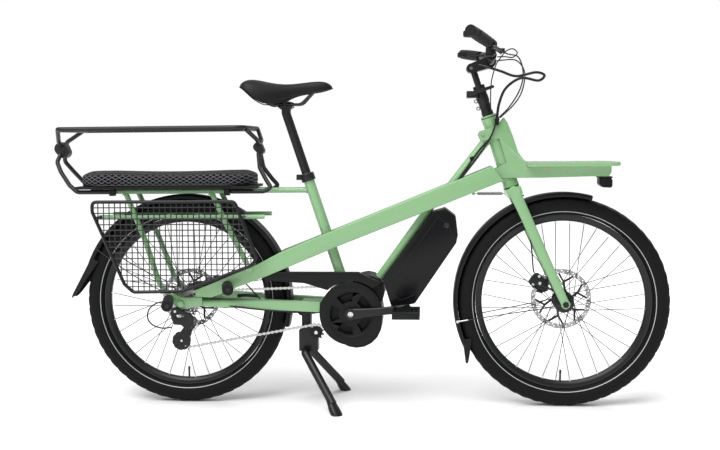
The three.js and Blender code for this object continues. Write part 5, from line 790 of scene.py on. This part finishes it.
LINK, LINK_END, LINK_WAIST = 12.7, 4.2, 2.1  # pitch of the chain and radii of its plates
UPPER, LOWER = (-539.5, 244.5), (-567.5, 194.5)  # jockey wheels
# What the chain goes round: centre, radius and the way it turns.
CIRCLES = [(CRANK, 80.8, 1), (REAR, 32.3, 1), (UPPER, 20, -1), (LOWER, 24, 1), (IDLER, 23, -1)]


def chain_path():
    """The closed line of a chain over the circles, each passed in its own direction."""
    headings = []
    for (a, ra, ta), (b, rb, tb) in zip(CIRCLES, CIRCLES[1:] + CIRCLES[:1]):
        dx, dz = b[0] - a[0], b[1] - a[1]
        headings.append(math.degrees(math.atan2(dz, dx) + math.asin((ta * ra - tb * rb) / math.hypot(dx, dz))))
    path = []
    for i, (centre, radius, turn) in enumerate(CIRCLES):
        first = headings[i - 1] - turn * 90
        sweep = ((headings[i] - headings[i - 1]) * turn) % 360
        path += arc(centre, radius, first, first + turn * sweep, max(2, math.ceil(sweep / 4)))
    return path


def spaced(loop, step):
    """Points at even distances round a closed line, in an even number."""
    ends = loop[1:] + loop[:1]
    lengths = [0.0]
    for a, b in zip(loop, ends):
        lengths.append(lengths[-1] + math.dist(a, b))
    count = 2 * round(lengths[-1] / step / 2)
    points = []
    for distance in (lengths[-1] * k / count for k in range(count)):
        i = max(j for j in range(len(loop)) if lengths[j] <= distance)
        t = (distance - lengths[i]) / max(lengths[i + 1] - lengths[i], 1e-6)
        points.append(tuple(a + (b - a) * t for a, b in zip(loop[i], ends[i])))
    return points


def waisted(a, b):
    """A chain plate: round ends and a narrow middle."""
    way = math.degrees(math.atan2(b[1] - a[1], b[0] - a[0]))
    middle = ((a[0] + b[0]) / 2, (a[1] + b[1]) / 2)
    return (arc(a, LINK_END, way + 48, way + 312, 8) + [polar(middle, LINK_WAIST, way - 90)]
            + arc(b, LINK_END, way - 132, way + 132, 8) + [polar(middle, LINK_WAIST, way + 90)])


pins = spaced(chain_path(), LINK)
links = Shape()
for k, (a, b) in enumerate(zip(pins, pins[1:] + pins[:1])):
    for side in SIDES:
        y = CHAIN_Y + side * (2.75 if k % 2 else 1.75)
        links.slab(waisted(a, b), y - 0.45, y + 0.45)
    for radius, half in ((1.7, 3.45), (3.7, 1.6)):
        links.drum(a, radius, CHAIN_Y - half, CHAIN_Y + half, 8)
links.make("chain_links", CHAIN, "chain")

cogs = Shape().lathe([(6.4, -40.2), (17, -40.2), (17, -70.4), (6.4, -70.4)], REAR, 40)
for y, radius, teeth, windows in (
        (-42, 46.9, 24, 40.3), (-47, 40.3, 20, 32.3), (-52, 32.3, 16, 0), (-56.4, 28.3, 14, 0), (-60.6, 25.4, 13, 0),
        (-64.8, 22.4, 11, 0)):
    sprocket(cogs, REAR, radius, teeth, y - 0.9, y + 0.9, ring_windows(REAR, 19, windows, 5, 0.7) if windows else ())
cogs.make("cassette_cogs", CHAIN, "cassette", body="cassette_set")

idler = Shape().lathe([(4.4, -48), (9, -48), (9, -56), (4.4, -56)], IDLER, 32)
sprocket(idler, IDLER, 21.0, 11, CHAIN_Y - 1.8, CHAIN_Y + 1.8)
idler.make("idler_wheel", PLASTIC, "idler_pulley", body="idler_set", bevel=0.3)

mech = Shape()
hole = at(UPPER).lerp(at(LOWER), 0.28)
for y0, y1, r in ((-48.2, -45.8, 11), (-58.3, -55.8, 12)):
    mech.slab(link_outline(UPPER, r, LOWER, r + 6, 14), y0, y1, [arc((hole.x, hole.z), 4.4, 0, -330, 11)])
arm = [(-585, 298), (-570, 298), (-556, 288), (-534, 281), (-521, 268), (-520, 248), (-532, 236), (-547, 238),
       (-560, 248), (-580, 249), (-588, 266), (-590, 284)]
mech.slab(arm, -77.3, -91, [[(-574, 267), (-552, 270), (-547, 276), (-560, 280), (-578, 276)]])
mech.drum(UPPER, 11.5, -55.8, -90, 28).drum((-533, 262), 12, -76, -91.7, 28)
mech.slab([polar(LOWER, 28.5 if k % 6 < 4 else 27.2, 6 * k) for k in range(60)], -58.6, -56.2,
          [arc(polar(LOWER, 15.5, 72 * k + 20), 5.2, 0, -330, 11) for k in range(5)])
mech.make("derailleur_built", BLACK, "derailleur", bevel=1.1, angle=35)
jockeys = Shape()
sprocket(jockeys, UPPER, 17.6, 10, -53.4, -50.6)
sprocket(jockeys, LOWER, 21.6, 12, -53.4, -50.6, ring_windows(LOWER, 8, 14, 5, 0.6))
jockeys.make("jockey_wheels", PLASTIC)
screws = Shape()
for spot, r, y in (((-577.0, 288.0), 4, -91.3), (UPPER, 3.4, -90.6), (LOWER, 3.4, -59.0), (IDLER, 5.2, -60.2)):
    screws.drum(spot, r, y + 1.5, y, 24).drum(spot, r * 0.5, y + 0.6, y - 0.35, 6)
screws.make("drive_screws", ALLOY, bevel=0.4)

ring = Shape()
sprocket(ring, CRANK, 77.2, 40, -53.6, -50.4, ring_windows(CRANK, 33, 62, 5, 0.72, 10))
ring.make("chainring", BLACK, body="crank_set")
guard = Shape().slab([polar(CRANK, 93, 5 * k) for k in range(72)], -64.0, -60.2,
                     ring_windows(CRANK, 36, 63, 5, 0.66, 12))
guard.lathe([(66, -64), (92, -64), (91, -65.4), (80, -66.2), (68, -65.2)], CRANK, 96)
guard.make("crank_guard", PLASTIC, body="crank_set", slot="black_paint", bevel=0.8, angle=40)
ARM_Y, ARM_HALF, ARM_IN, ARM_OUT = 70.9, 6.5, 64.5, 77.3  # middle, half thickness and the faces of the round ends
ARM_SECTION = [(1, 0.55), (0.75, 1), (-0.75, 1), (-1, 0.55), (-1, -0.55), (-0.75, -1), (0.75, -1), (1, -0.55)]
for (side, word), spot in zip(HANDS, ((105.1, 296.25), (-223.1, 261.75))):
    node = word + "_crank"
    root, tip = at(CRANK, side * ARM_Y), at(spot, side * ARM_Y)
    up = Vector((root.z - tip.z, 0, tip.x - root.x)).normalized()
    rings = []
    for k in range(25):
        t = k / 24
        half = (17 - 4 * t) * (1 - 0.22 * math.sin(math.pi * t))
        rings.append([root.lerp(tip, t) + up * (u * half) + ACROSS * (v * ARM_HALF) for u, v in ARM_SECTION])
    arm = Shape().rings(rings)
    for centre, radius, start, end, sides in ((CRANK, 17, ARM_IN, ARM_OUT, 40), (spot, 13, ARM_IN, ARM_OUT, 36),
                                              (spot, 6, 76, 172, 20)):
        arm.drum(centre, radius, side * start, side * end, sides)
    if word == "right":
        arm.drum(CRANK, 17, -50, -65, 36).drum(CRANK, 11, -64, 64, 24)
    arm.make(node + "_arm", BLACK, node, body="crank_set", bevel=1.2, segments=3, angle=35)
    bolt = Shape().drum(CRANK, 4.6, side * 77, side * 77.8, 6)
    bolt.lathe([(4.5, side * 77.2), (8.5, side * 77.2), (8.0, side * 78.6), (4.5, side * 78.0)], CRANK, 32)
    bolt.make(node + "_bolt", ALLOY, body="crank_set")

    node = word + "_pedal"
    keep(node, PLASTIC, 2.2)
    studs, reflectors = Shape(), Shape()
    for dx in (-34.5, -12, 12, 34.5):
        for y in (100, 115, 130, 145, 160, 178) if abs(dx) > 20 else (100, 178):
            for up in SIDES:
                studs.rod((spot[0] + dx, side * y, spot[1] + up * 9), (spot[0] + dx, side * y, spot[1] + up * 10.9),
                          1.6, 1.1, sides=10)
    for end in SIDES:
        reflectors.box((spot[0] + end * 38.2, side * 139 - 22, spot[1] - 6),
                       (spot[0] + end * 38.9, side * 139 + 22, spot[1] + 6))
    studs.make(node + "_studs", ALLOY, body=node + "_set")
    reflectors.make(node + "_reflectors", AMBER, body=node + "_set", bevel=0.3)

# Battery
keep("battery", GLOSS, 5, 4, 30)
SHELL_Y = 43.15  # sides of the battery
UP = Vector((174.0, 0, 239.1)).normalized()  # along the down tube
AHEAD = Vector((UP.z, 0, -UP.x))
seams = Shape()
for side in SIDES:
    for line, radius in ((((-14, 34), (255, 34)), 0.7), (((24, 110), (214, 110)), 0.6),
                         (((24, 110), (-10, 90), (-14, 34)), 0.6), (((214, 110), (246, 80), (255, 34)), 0.6)):
        seams.sweep([at(DOWN_FOOT, side * SHELL_Y) + UP * along + AHEAD * out for along, out in line], radius, 6)
seams.make("battery_seams", PLASTIC, slot="battery_shell", angle=38)
LOCK = (222.0, 536.0)
lock = Shape().drum(LOCK, 4.1, -42.9, -43.7, 24)
lock.lathe([(4, -42.9), (8.5, -42.9), (8.2, -44.4), (5.2, -44.4), (4, -43.6)], LOCK, 32)
lock.make("battery_lock", CARRIER, slot="bare_alloy")

# Kickstand
keep("kickstand_bracket", BLACK, 2.2)
PIVOT = (-200.0, 158.0)
stand = Shape().drum(PIVOT, 9, -30, 30, 28)
for side in SIDES:
    route = bent([at(PIVOT, side * 20), at(PIVOT, side * 38), (-108.5, side * 124, 28)], 14, 6)
    stand.sweep(route, [min(12.4, 9.6 + 0.6 * k) for k in range(len(route))], 22)
    heel = Vector((-96, side * 136, 0))
    leg = at(PIVOT, side * 38) - heel
    rings = []
    for share, wide, deep in ((0, 17, 16.6), (0.08, 17.6, 17), (0.2, 17, 16.5), (0.4, 14, 14), (0.6, 12.6, 12.6)):
        centre = heel + Vector((leg.x * 0.36, leg.y * 0.36, 70)) * share
        rings.append([centre + Vector((wide * u, deep * v, 0)) for u, v in circle(28)])
    stand.rings(rings)
stand.make("kickstand_built", BLACK, "kickstand", body="stand", bevel=1.2, angle=45)

# Seat
RAIL_Z, SADDLE_TOP, POST_X = 894.93, 972.93, -252.96
SADDLE_LENGTH, SADDLE_HALF, SADDLE_DEEP, NOSE = 272, 80, 82, POST_X + 140
post = Shape().rod(at(seat_point(271)), at(seat_point(622)), 13.6, sides=32)
post.rod(at((POST_X, 866)), at((POST_X, 890)), 13.6, 14.5, sides=32)
post.slab(link_outline((POST_X - 10, RAIL_Z - 4), 11, (POST_X + 10, RAIL_Z - 4), 11, 12), -14, 14)
for side in SIDES:
    post.box((POST_X - 21, side * 14, RAIL_Z - 9), (POST_X + 21, side * 27, RAIL_Z - 4.6))
    post.slab([(POST_X - 21, RAIL_Z + 4.6), (POST_X + 21, RAIL_Z + 4.6), (POST_X + 19, RAIL_Z + 8),
               (POST_X - 19, RAIL_Z + 8)], side * 14, side * 27)
post.drum((POST_X, RAIL_Z), 5.5, -27.5, 27.5, 20)
post.make("seat_post_built", BLACK, "seat_post", body="seat", bevel=0.8, angle=35)
collar = Shape().sweep([at(seat_point(u)) for u in (408.2, 409.5, 430, 431.6)], [20.4, 21.3, 21.3, 20.4], 36)
x, z = seat_point(420)
collar.box((x - 33, -10.8, z - 8), (x - 15, 10.8, z + 8)).drum((x - 27, z), 4.5, -10.9, 10.9, 18)
collar.make("seat_collar_built", BLACK, "seat_collar", bevel=0.8, angle=35)

# Shares of the saddle's length, half width, and depth of its top line and its rim.
SADDLE_STATIONS = [
    (0, 0.10, 0.30, 0.40), (0.05, 0.20, 0.15, 0.45), (0.14, 0.25, 0.10, 0.52), (0.28, 0.30, 0.14, 0.58),
    (0.43, 0.45, 0.20, 0.66), (0.56, 0.70, 0.20, 0.88), (0.69, 0.92, 0.13, 1.0), (0.81, 1.0, 0.03, 0.82),
    (0.92, 0.95, 0.0, 0.5), (0.98, 0.75, 0.12, 0.36), (1.0, 0.5, 0.2, 0.32)]
SADDLE_ROUND = [(0, 0), (0.3, 0.02), (0.55, 0.08), (0.78, 0.22), (0.93, 0.45), (1, 0.75), (1, 1)]


def saddle_rings(grow):
    rings = []
    for along, wide, top, rim in SADDLE_STATIONS:
        x, half = NOSE - along * SADDLE_LENGTH, wide * SADDLE_HALF + grow
        high, low = SADDLE_TOP - top * SADDLE_DEEP + grow, SADDLE_TOP - rim * SADDLE_DEEP
        ceiling = max(low, high - 20)
        right = [(x, out * half, high - down * (high - low)) for out, down in SADDLE_ROUND]
        right += [(x, 0.84 * half, low), (x, 0.6 * half, (low + ceiling) / 2), (x, 0, ceiling)]
        rings.append([Vector(p) for p in right + [(x, -y, z) for x, y, z in right[-2:0:-1]]])
    return rings


cover = Shape().rings(saddle_rings(-0.6)).make("saddle_shell", SADDLE, "saddle", body="seat", subdivide=2)
edge, rails = Shape(), Shape()
for side in SIDES:
    rim = [(ring[6].x, side * ring[6].y * 0.975, ring[6].z + 1.6) for ring in saddle_rings(-1)]
    edge.hose(rim, 1.5, 5, 8)
    rails.pipe([(NOSE - 44, side * 11, RAIL_Z + 50), (NOSE - 92, side * 22, RAIL_Z), (NOSE - 185, side * 22, RAIL_Z),
                (NOSE - 238, side * 33, RAIL_Z + 42)], 3.6, 26, 14, 8)
edge.make("saddle_edge", PLASTIC, body="seat", slot="saddle_skin")
rails.make("saddle_rails", BLACK, body="seat")

# Fork
CROWN, CROWN_LOW, CROWN_HIGH, CROWN_HALF = head_point(-12), -24, -0.4, 22
BLADE_Y, BLADE_HALF = 58, 8.8  # the fork's legs
fork, hardware = Shape(), Shape()
for side in SIDES:
    top, foot = at(CROWN, side * BLADE_Y), at(FRONT, side * BLADE_Y)
    across = Vector((foot.z - top.z, 0, top.x - foot.x)).normalized()
    fork.rings([[top.lerp(foot, t) + across * (u * (16.6 - 4.2 * t)) + ACROSS * (v * BLADE_HALF)
                 for u, v in circle(20, 0.62)] for t in (k / 32 for k in range(33))])
    fork.drum(FRONT, 13, side * 49.2, side * 66.6, 36).drum(CROWN, 16.6, side * 49.2, side * 66.8, 36)
    hardware.drum(FRONT, 9.5, side * 66.4, side * 69.5, 6).drum(FRONT, 5.5, side * 66.4, side * 71.2, 20)
fork.slab([head_point(CROWN_HIGH, -CROWN_HALF), head_point(CROWN_HIGH, CROWN_HALF),
           head_point(CROWN_LOW, CROWN_HALF), head_point(CROWN_LOW, -CROWN_HALF)], -60, 60)
spot = polar(FRONT, DISC_BAND, FRONT_CALIPER)
fork.slab(link_outline(spot, 10.6, (spot[0] + 52, spot[1]), 10.6, 10), 49.2, 53.8)
fork.make("fork_built", PAINT, "fork", body="steering", bevel=2.6, segments=4, angle=40)
hardware.drum(FRONT, 6, -50, 50, 20).rod(at(head_point(221)), at(head_point(301)), 12.7, sides=28)
hardware.make("fork_hardware", BLACK, body="steering", bevel=0.5, angle=35)
headset = Shape().rod(at(head_point(-0.3)), at(head_point(3)), 23.2, sides=40)
headset.rod(at(head_point(214)), at(head_point(222.2)), 23.3, 22.4, sides=40)
headset.make("headset_cups", BLACK, bevel=0.6, angle=35)

# Stem and handlebar
BAR, STEM_REAR, LEVER_BOX, STEM_HALF = (351.55, 1011.47), (296.33, 993.74), (291.38, 917.58), 20.8


def above(up, ahead=0.0):
    return head_point(HEAD_LENGTH + up, ahead)


clamp = Shape().sweep([at(above(u)) for u in (0.4, 3, 10, 14, 38, 44, 58, 64, 78, 91.5)],
                      [16.4, 17.4, 17.4, 15.8, 16.2, 18, 18, 16.8, 17.6, 17.6], 36)
clamp.box((LEVER_BOX[0] - 8, -STEM_HALF, LEVER_BOX[1] - 10), (LEVER_BOX[0] + 24, STEM_HALF, LEVER_BOX[1] + 10))
clamp.make("stem_clamp_built", BLACK, "stem_clamp", body="steering", bevel=1.2, segments=3, angle=40)
eyes = Shape()
for up in (28, 50):
    eyes.lathe([(3, -3), (6, -3), (6, 3), (3, 3)], above(up, -21), 24)
eyes.make("stem_eyelets", STEEL, body="steering", angle=40)
keep("stem_lever", BLACK, 1.5)

stem = Shape().slab(link_outline(BAR, 17, STEM_REAR, 13.6, 18), -STEM_HALF, STEM_HALF, [arc(BAR, 11.6, 0, -345, 23)])
stem.sweep([at(above(u)) for u in (21, 60, 60.1, 64, 64.1, 132)], [9.6, 9.6, 9.7, 9.7, 9.6, 9.6], 28)
stem.make("stem_built", BLACK, "stem", body="bars", bevel=1.8, segments=3, angle=40)
screws = Shape()
for side in SIDES:
    for dx, dz in ((12, 9), (9, -12)):
        screws.drum((BAR[0] + dx, BAR[1] + dz), 2.6, side * 12, side * 16, 6)
    screws.drum(STEM_REAR, 4.5, side * 20.5, side * 22.0, 20)
screws.make("stem_screws", STEEL, body="bars")


def bar_points(side):
    return [Vector((BAR[0], side * 42, BAR[1])), Vector((BAR[0], side * 120, 1039.47)),
            Vector((337.55, side * 206, 1047.47)), Vector((281.55, side * 332, 1067.47))]


LEVER_Y, LEVER_LENGTH = 190, 104
bar = Shape().pipe(bar_points(1)[::-1] + bar_points(-1), 11.1, 60, 24, 10)
for side, word in HANDS:
    inner, outer = bar_points(side)[2:]
    along = (outer - inner).normalized()
    pivot, root = Vector((374.67, side * LEVER_Y, 1027.93)), Vector((344.67, side * LEVER_Y, 1044.93))
    bar.rod(root - along * 7, root + along * 7, 14.6, sides=30)
    bar.sweep([(352, side * 187, 1036), (362, side * 187, 1031), (374, side * 187, 1020)], [7, 6.5, 5.5], 14)
    bar.rod((pivot.x, pivot.y, 1020.4), (pivot.x, pivot.y, 1033.2), 3, sides=16)
    bar.sweep([(350, side * 176, 1030), (357, side * 160, 1032), (362, side * 150, 1033)], [6, 6.4, 5], 16)

    way = Vector((-0.4061, side * 0.9138, 0)).normalized()
    tip = pivot + way * LEVER_LENGTH + Vector((10, 0, 0))
    path = smooth([pivot + way * 5, pivot + way * LEVER_LENGTH * 0.4,
                   pivot.lerp(tip, 0.75) + Vector((1, 0, 0)), tip], 8)
    blade = Shape().sweep(path, [4.9 - 0.9 * k / len(path) for k in range(len(path))],
                          section=[(u, 0.62 * v) for u, v in circle(16)], up=(0, 0, 1))
    blade.rod(pivot - Vector((0, 0, 4.8)), pivot + Vector((0, 0, 4.8)), 6.4, sides=24)
    blade.make(word + "_brake_blade", BLACK, word + "_brake_lever", body=word + "_brake", bevel=0.4, angle=45)

    start, end = inner.lerp(outer, 0.06), outer + along * 1.5
    path, sizes = [], []
    for k in range(61):
        t = k / 60
        path.append(start.lerp(end, t))
        rib = 0.3 if 0.06 < t < 0.94 and k % 2 else 0.0
        sizes.append(14.8 + 1.1 * math.sin(math.pi * min(1, t * 1.1)) + rib + (0.6 if t < 0.05 else 0.0))
    sizes[-1] = 13.6
    palm = inner.lerp(outer, 0.70) + Vector((-8.25, 0, 0))
    grip = Shape().sweep(path, sizes, 30).rings([
        [palm + Vector((25.6 * size * u, 25.2 * size * v, z)) for u, v in circle(40)]
        for z, size in ((-6.5, 0.9), (-7.6, 0.97), (-2, 1.0), (3, 1.0), (7.6, 0.96), (8.1, 0.86))])
    grip.make(word + "_grip_built", GRIP, word + "_grip", body="bars", bevel=1.2, segments=3, angle=50)

bar.rod((343.85, -167.3, 1018.07), (343.85, -167.3, 1042.87), 14.6, 13.2, sides=30)
bar.make("handlebar_built", BLACK, "handlebar", body="bars", bevel=0.8, angle=40)
keep("shift_lever", PLASTIC, 0.8, 2)
keep("display", PLASTIC, 2.0, 3, 35)
Shape().box((344.9, -98.2, 1039), (345.75, -58.8, 1066)).make("display_screen", SCREEN, body="bars", bevel=0.3)

# Front rack and lamp
keep("front_rack", PAINT, 1.3, 3, 35)
inserts, bolts = Shape(), Shape()
for side in SIDES:
    for x in (456.8, 511.4, 569.1, 630.8):
        slot = arc((x - 6, 701.6), 2.0, 90, 270, 6) + arc((x + 6, 701.6), 2.0, -90, 90, 6)
        inserts.slab(slot, side * 28.0, side * 29.3)
    for x in (493, 553.6, 614.3, 675):
        inserts.sweep([(x + 5.9 * u, side * 87 + 5.9 * v, 718) for u, v in circle(24)], 0.9, 8, closed=True)
    for spot in ((328, 799), (365, 688)):
        bolts.drum(spot, 5.5, side * 27.5, side * 30.6, 28).drum(spot, 2.75, side * 27.5, side * 30.9, 6)
inserts.make("tie_inserts", INSERT, bevel=0.4)
bolts.make("rack_bolts", PAINT, bevel=0.7)
lamp = Shape().box((662, -28, 670.7), (701, 28, 675.4))
lamp.slab([(664, 671), (698, 671), (701.5, 664), (701.5, 648), (697, 642.5), (674, 643.5), (663.5, 652)], -21.6, 21.6)
lamp.make("headlamp_body", PLASTIC, "headlamp", slot="lamp_body", bevel=2.2, segments=3)
LAMP_Z = 655.5
Shape().rod((698, 0, LAMP_Z), (702.6, 0, LAMP_Z), 12.6, 11.4, sides=36).make("headlamp_lens", LENS, bevel=0.6)
Shape().rod((701.3, 0, LAMP_Z), (701.8, 0, LAMP_Z), 14.4, sides=36).make("headlamp_bezel", ALLOY, slot="lamp_body")

# Steering spring
SPRING_Z, COIL, TURNS, STEPS = 626.43, 4.2, 26, 14  # steps in each turn
path = [Vector((306.2, 0, SPRING_Z))]
for k in range(TURNS * STEPS + 1):
    turn = k / STEPS
    radius = COIL * min(1.0, turn, TURNS - turn)
    a = 2 * math.pi * turn
    path.append(Vector((312 + 76 * turn / TURNS, radius * math.sin(a), SPRING_Z + radius * math.cos(a))))
path.append(Vector((394.1, 0, SPRING_Z)))
spring = Shape().sweep(path, 0.9, 7).make("steering_coil", STEEL, "steering_spring", body=None, angle=38)
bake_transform(spring)

# Hoses and cables: radius and route, for those fixed to the frame and those that reach the handlebar
FIXED = {
    "strut_cable": (2.6, [(350, -29, 789), (322, -20, 758), (301, -17, 730), (281, -17, 701), (256, -16, 666)]),
    "stay_hose": (2.3, [(-446, -63, 307), (-410, -68, 300), (-374, -70, 296), (-306, -67, 289), (-238, -62, 284)]),
    "beam_hose": (2.1, [(-374, -58, 369), (-362, -55, 356), (-345, -54, 337), (-328, -55, 320)]),
    "slot_tube": (5.0, [(-400, -38, 327), (-374, -38, 328), (-340, -38, 326)]),
    "low_hose": (2.5, [(366, -35, 832), (350, -36, 790), (322, -32, 748), (290, -22, 704), (242, -19, 650)]),
}
FROM_BARS = {  # points from the top down
    "bundle": (3.9, [(318, -25.6, 1002), (345, -38, 994), (380, -52, 981), (423, -58, 966), (478, -57, 976),
                     (504, -46, 968), (488, -35, 954), (439, -30, 962), (396, -30, 934), (376, -33, 890),
                     (369, -34.5, 846)]),
    "right_hose": (2.0, [(366, -176, 1028), (392, -158, 1020), (424, -118, 1014), (440, -84, 974), (433, -62, 928),
                         (405, -44, 880), (372, -36, 846)]),
    "left_hose": (2.0, [(366, 176, 1028), (398, 150, 1030), (434, 104, 1026), (453, 70, 1002), (457, 40, 972),
                        (443, 0, 922), (417, -22, 884), (378, -34, 848)]),
    "loop_cable": (1.7, [(362, -168, 1012), (382, -168, 1012), (404, -168, 1010), (416, -168, 1022),
                         (404, -168, 1033), (386, -168, 1027), (370, -160, 1008), (360, -120, 990),
                         (352, -60, 950), (351, -36, 900), (352, -33, 862)]),
}
SPLIT = 926.0  # height where a cable's two pieces meet
for name, (radius, points) in FIXED.items():
    Shape().hose(points, radius).make(name + "_line", SHEATH)
for name, (radius, points) in FROM_BARS.items():
    # A cable crosses two joints: on the bicycle its lower part turns with the fork and its upper part slides with the
    # stem. Here it is cut in two at SPLIT, and neither piece is put on a body.
    path = smooth(points, 12)
    low = next(k for k in range(len(path)) if all(spot.z < SPLIT for spot in path[k:]))
    node = "control_cables" if name == "bundle" else None
    upper = Shape().sweep(path[:low + 1], radius, 14).make(name + "_upper", SHEATH, node, body=None)
    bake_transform(upper)
    lower = Shape().sweep(path[low:], radius, 14).make(name + "_lower", SHEATH, node, body=None)
    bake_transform(lower)
Shape().hose([
    (446, -18, 622), (444, 22, 610), (452, 46, 560), (462, 48, 520), (473, 45, 482), (477, 43, 445), (480, 40, 400),
    (483, 38, 386)], 2.2, sides=12).make("front_brake_hose", SHEATH, body="steering", angle=38)
clip = Shape().slab([(363, 826), (374, 826), (377, 846), (362, 846)], -28.9, -40)
clip.slab([(294, 722), (304, 726), (300, 738), (290, 733)], -10, -20.5)
clip.make("cable_clip", PLASTIC, bevel=2.5, segments=3)
Shape().hose([
    (-600, -86, 318), (-632, -88, 312), (-655, -88, 294), (-660, -88, 268), (-646, -88, 248), (-618, -87, 238),
    (-589, -85, 240)], 2.1, 10, 12).make("shift_cable_loop", SHEATH, angle=38)

# Stage, light and camera
bpy.ops.mesh.primitive_plane_add(size=40, location=(0, 0, 0))
floor = bpy.context.object
floor.name = "studio_floor"
white = bpy.data.materials.new("studio_white")
white.use_nodes = True
paper = white.node_tree.nodes["Principled BSDF"].inputs
paper["Base Color"].default_value, paper["Roughness"].default_value = (0.97, 0.97, 0.97, 1), 0.9
floor.data.materials.append(white)

world = bpy.data.worlds.new("studio")
bpy.context.scene.world = world
world.use_nodes = True
# The camera sees full white, and the light from it on everything else is weaker.
nodes, link = world.node_tree.nodes, world.node_tree.links.new
seen, glow, sky = nodes.new("ShaderNodeLightPath"), nodes.new("ShaderNodeMapRange"), nodes["Background"].inputs
glow.inputs["To Min"].default_value, glow.inputs["To Max"].default_value = 0.36, 1.0
link(seen.outputs["Is Camera Ray"], glow.inputs["Value"])
link(glow.outputs["Result"], sky["Strength"])
sky["Color"].default_value = (1, 1, 1, 1)
bpy.context.scene.view_settings.view_transform = "Standard"


def light(name, kind, energy, place, aim, **settings):
    obj = bpy.data.objects.new(name, settle(bpy.data.lights.new(name, kind), energy=energy, **settings))
    obj.location = place
    obj.rotation_euler = (Vector(aim) - Vector(place)).to_track_quat("-Z", "Y").to_euler()
    bpy.context.scene.collection.objects.link(obj)


light("sky_panel", "SUN", 2.5, (-1.2, -1.6, 4.5), (0, 0, 0), angle=math.radians(50))
light("key", "AREA", 60, (-1.6, -3.0, 3.2), (0, 0, 0.5), shape="RECTANGLE", size=2.6, size_y=1.6)
light("rim", "AREA", 50, (1.6, 2.4, 3.0), (0, 0, 0.6), shape="RECTANGLE", size=3.0, size_y=1.2)

YAW, PITCH, ROLL = (math.radians(v) for v in (4.611, -2.304, -0.547))
lens = settle(bpy.data.cameras.new("camera"), sensor_width=36, lens=46.12, shift_y=-0.0625)
camera = bpy.data.objects.new("camera", lens)
camera.matrix_world = (Matrix.Translation((0.23593, -2.73709, 0.77912)) @ Matrix.Rotation(YAW, 4, "Z")
                       @ Matrix.Rotation(math.pi / 2 + PITCH, 4, "X") @ Matrix.Rotation(ROLL, 4, "Z"))
bpy.context.scene.collection.objects.link(camera)
bpy.context.scene.camera = camera
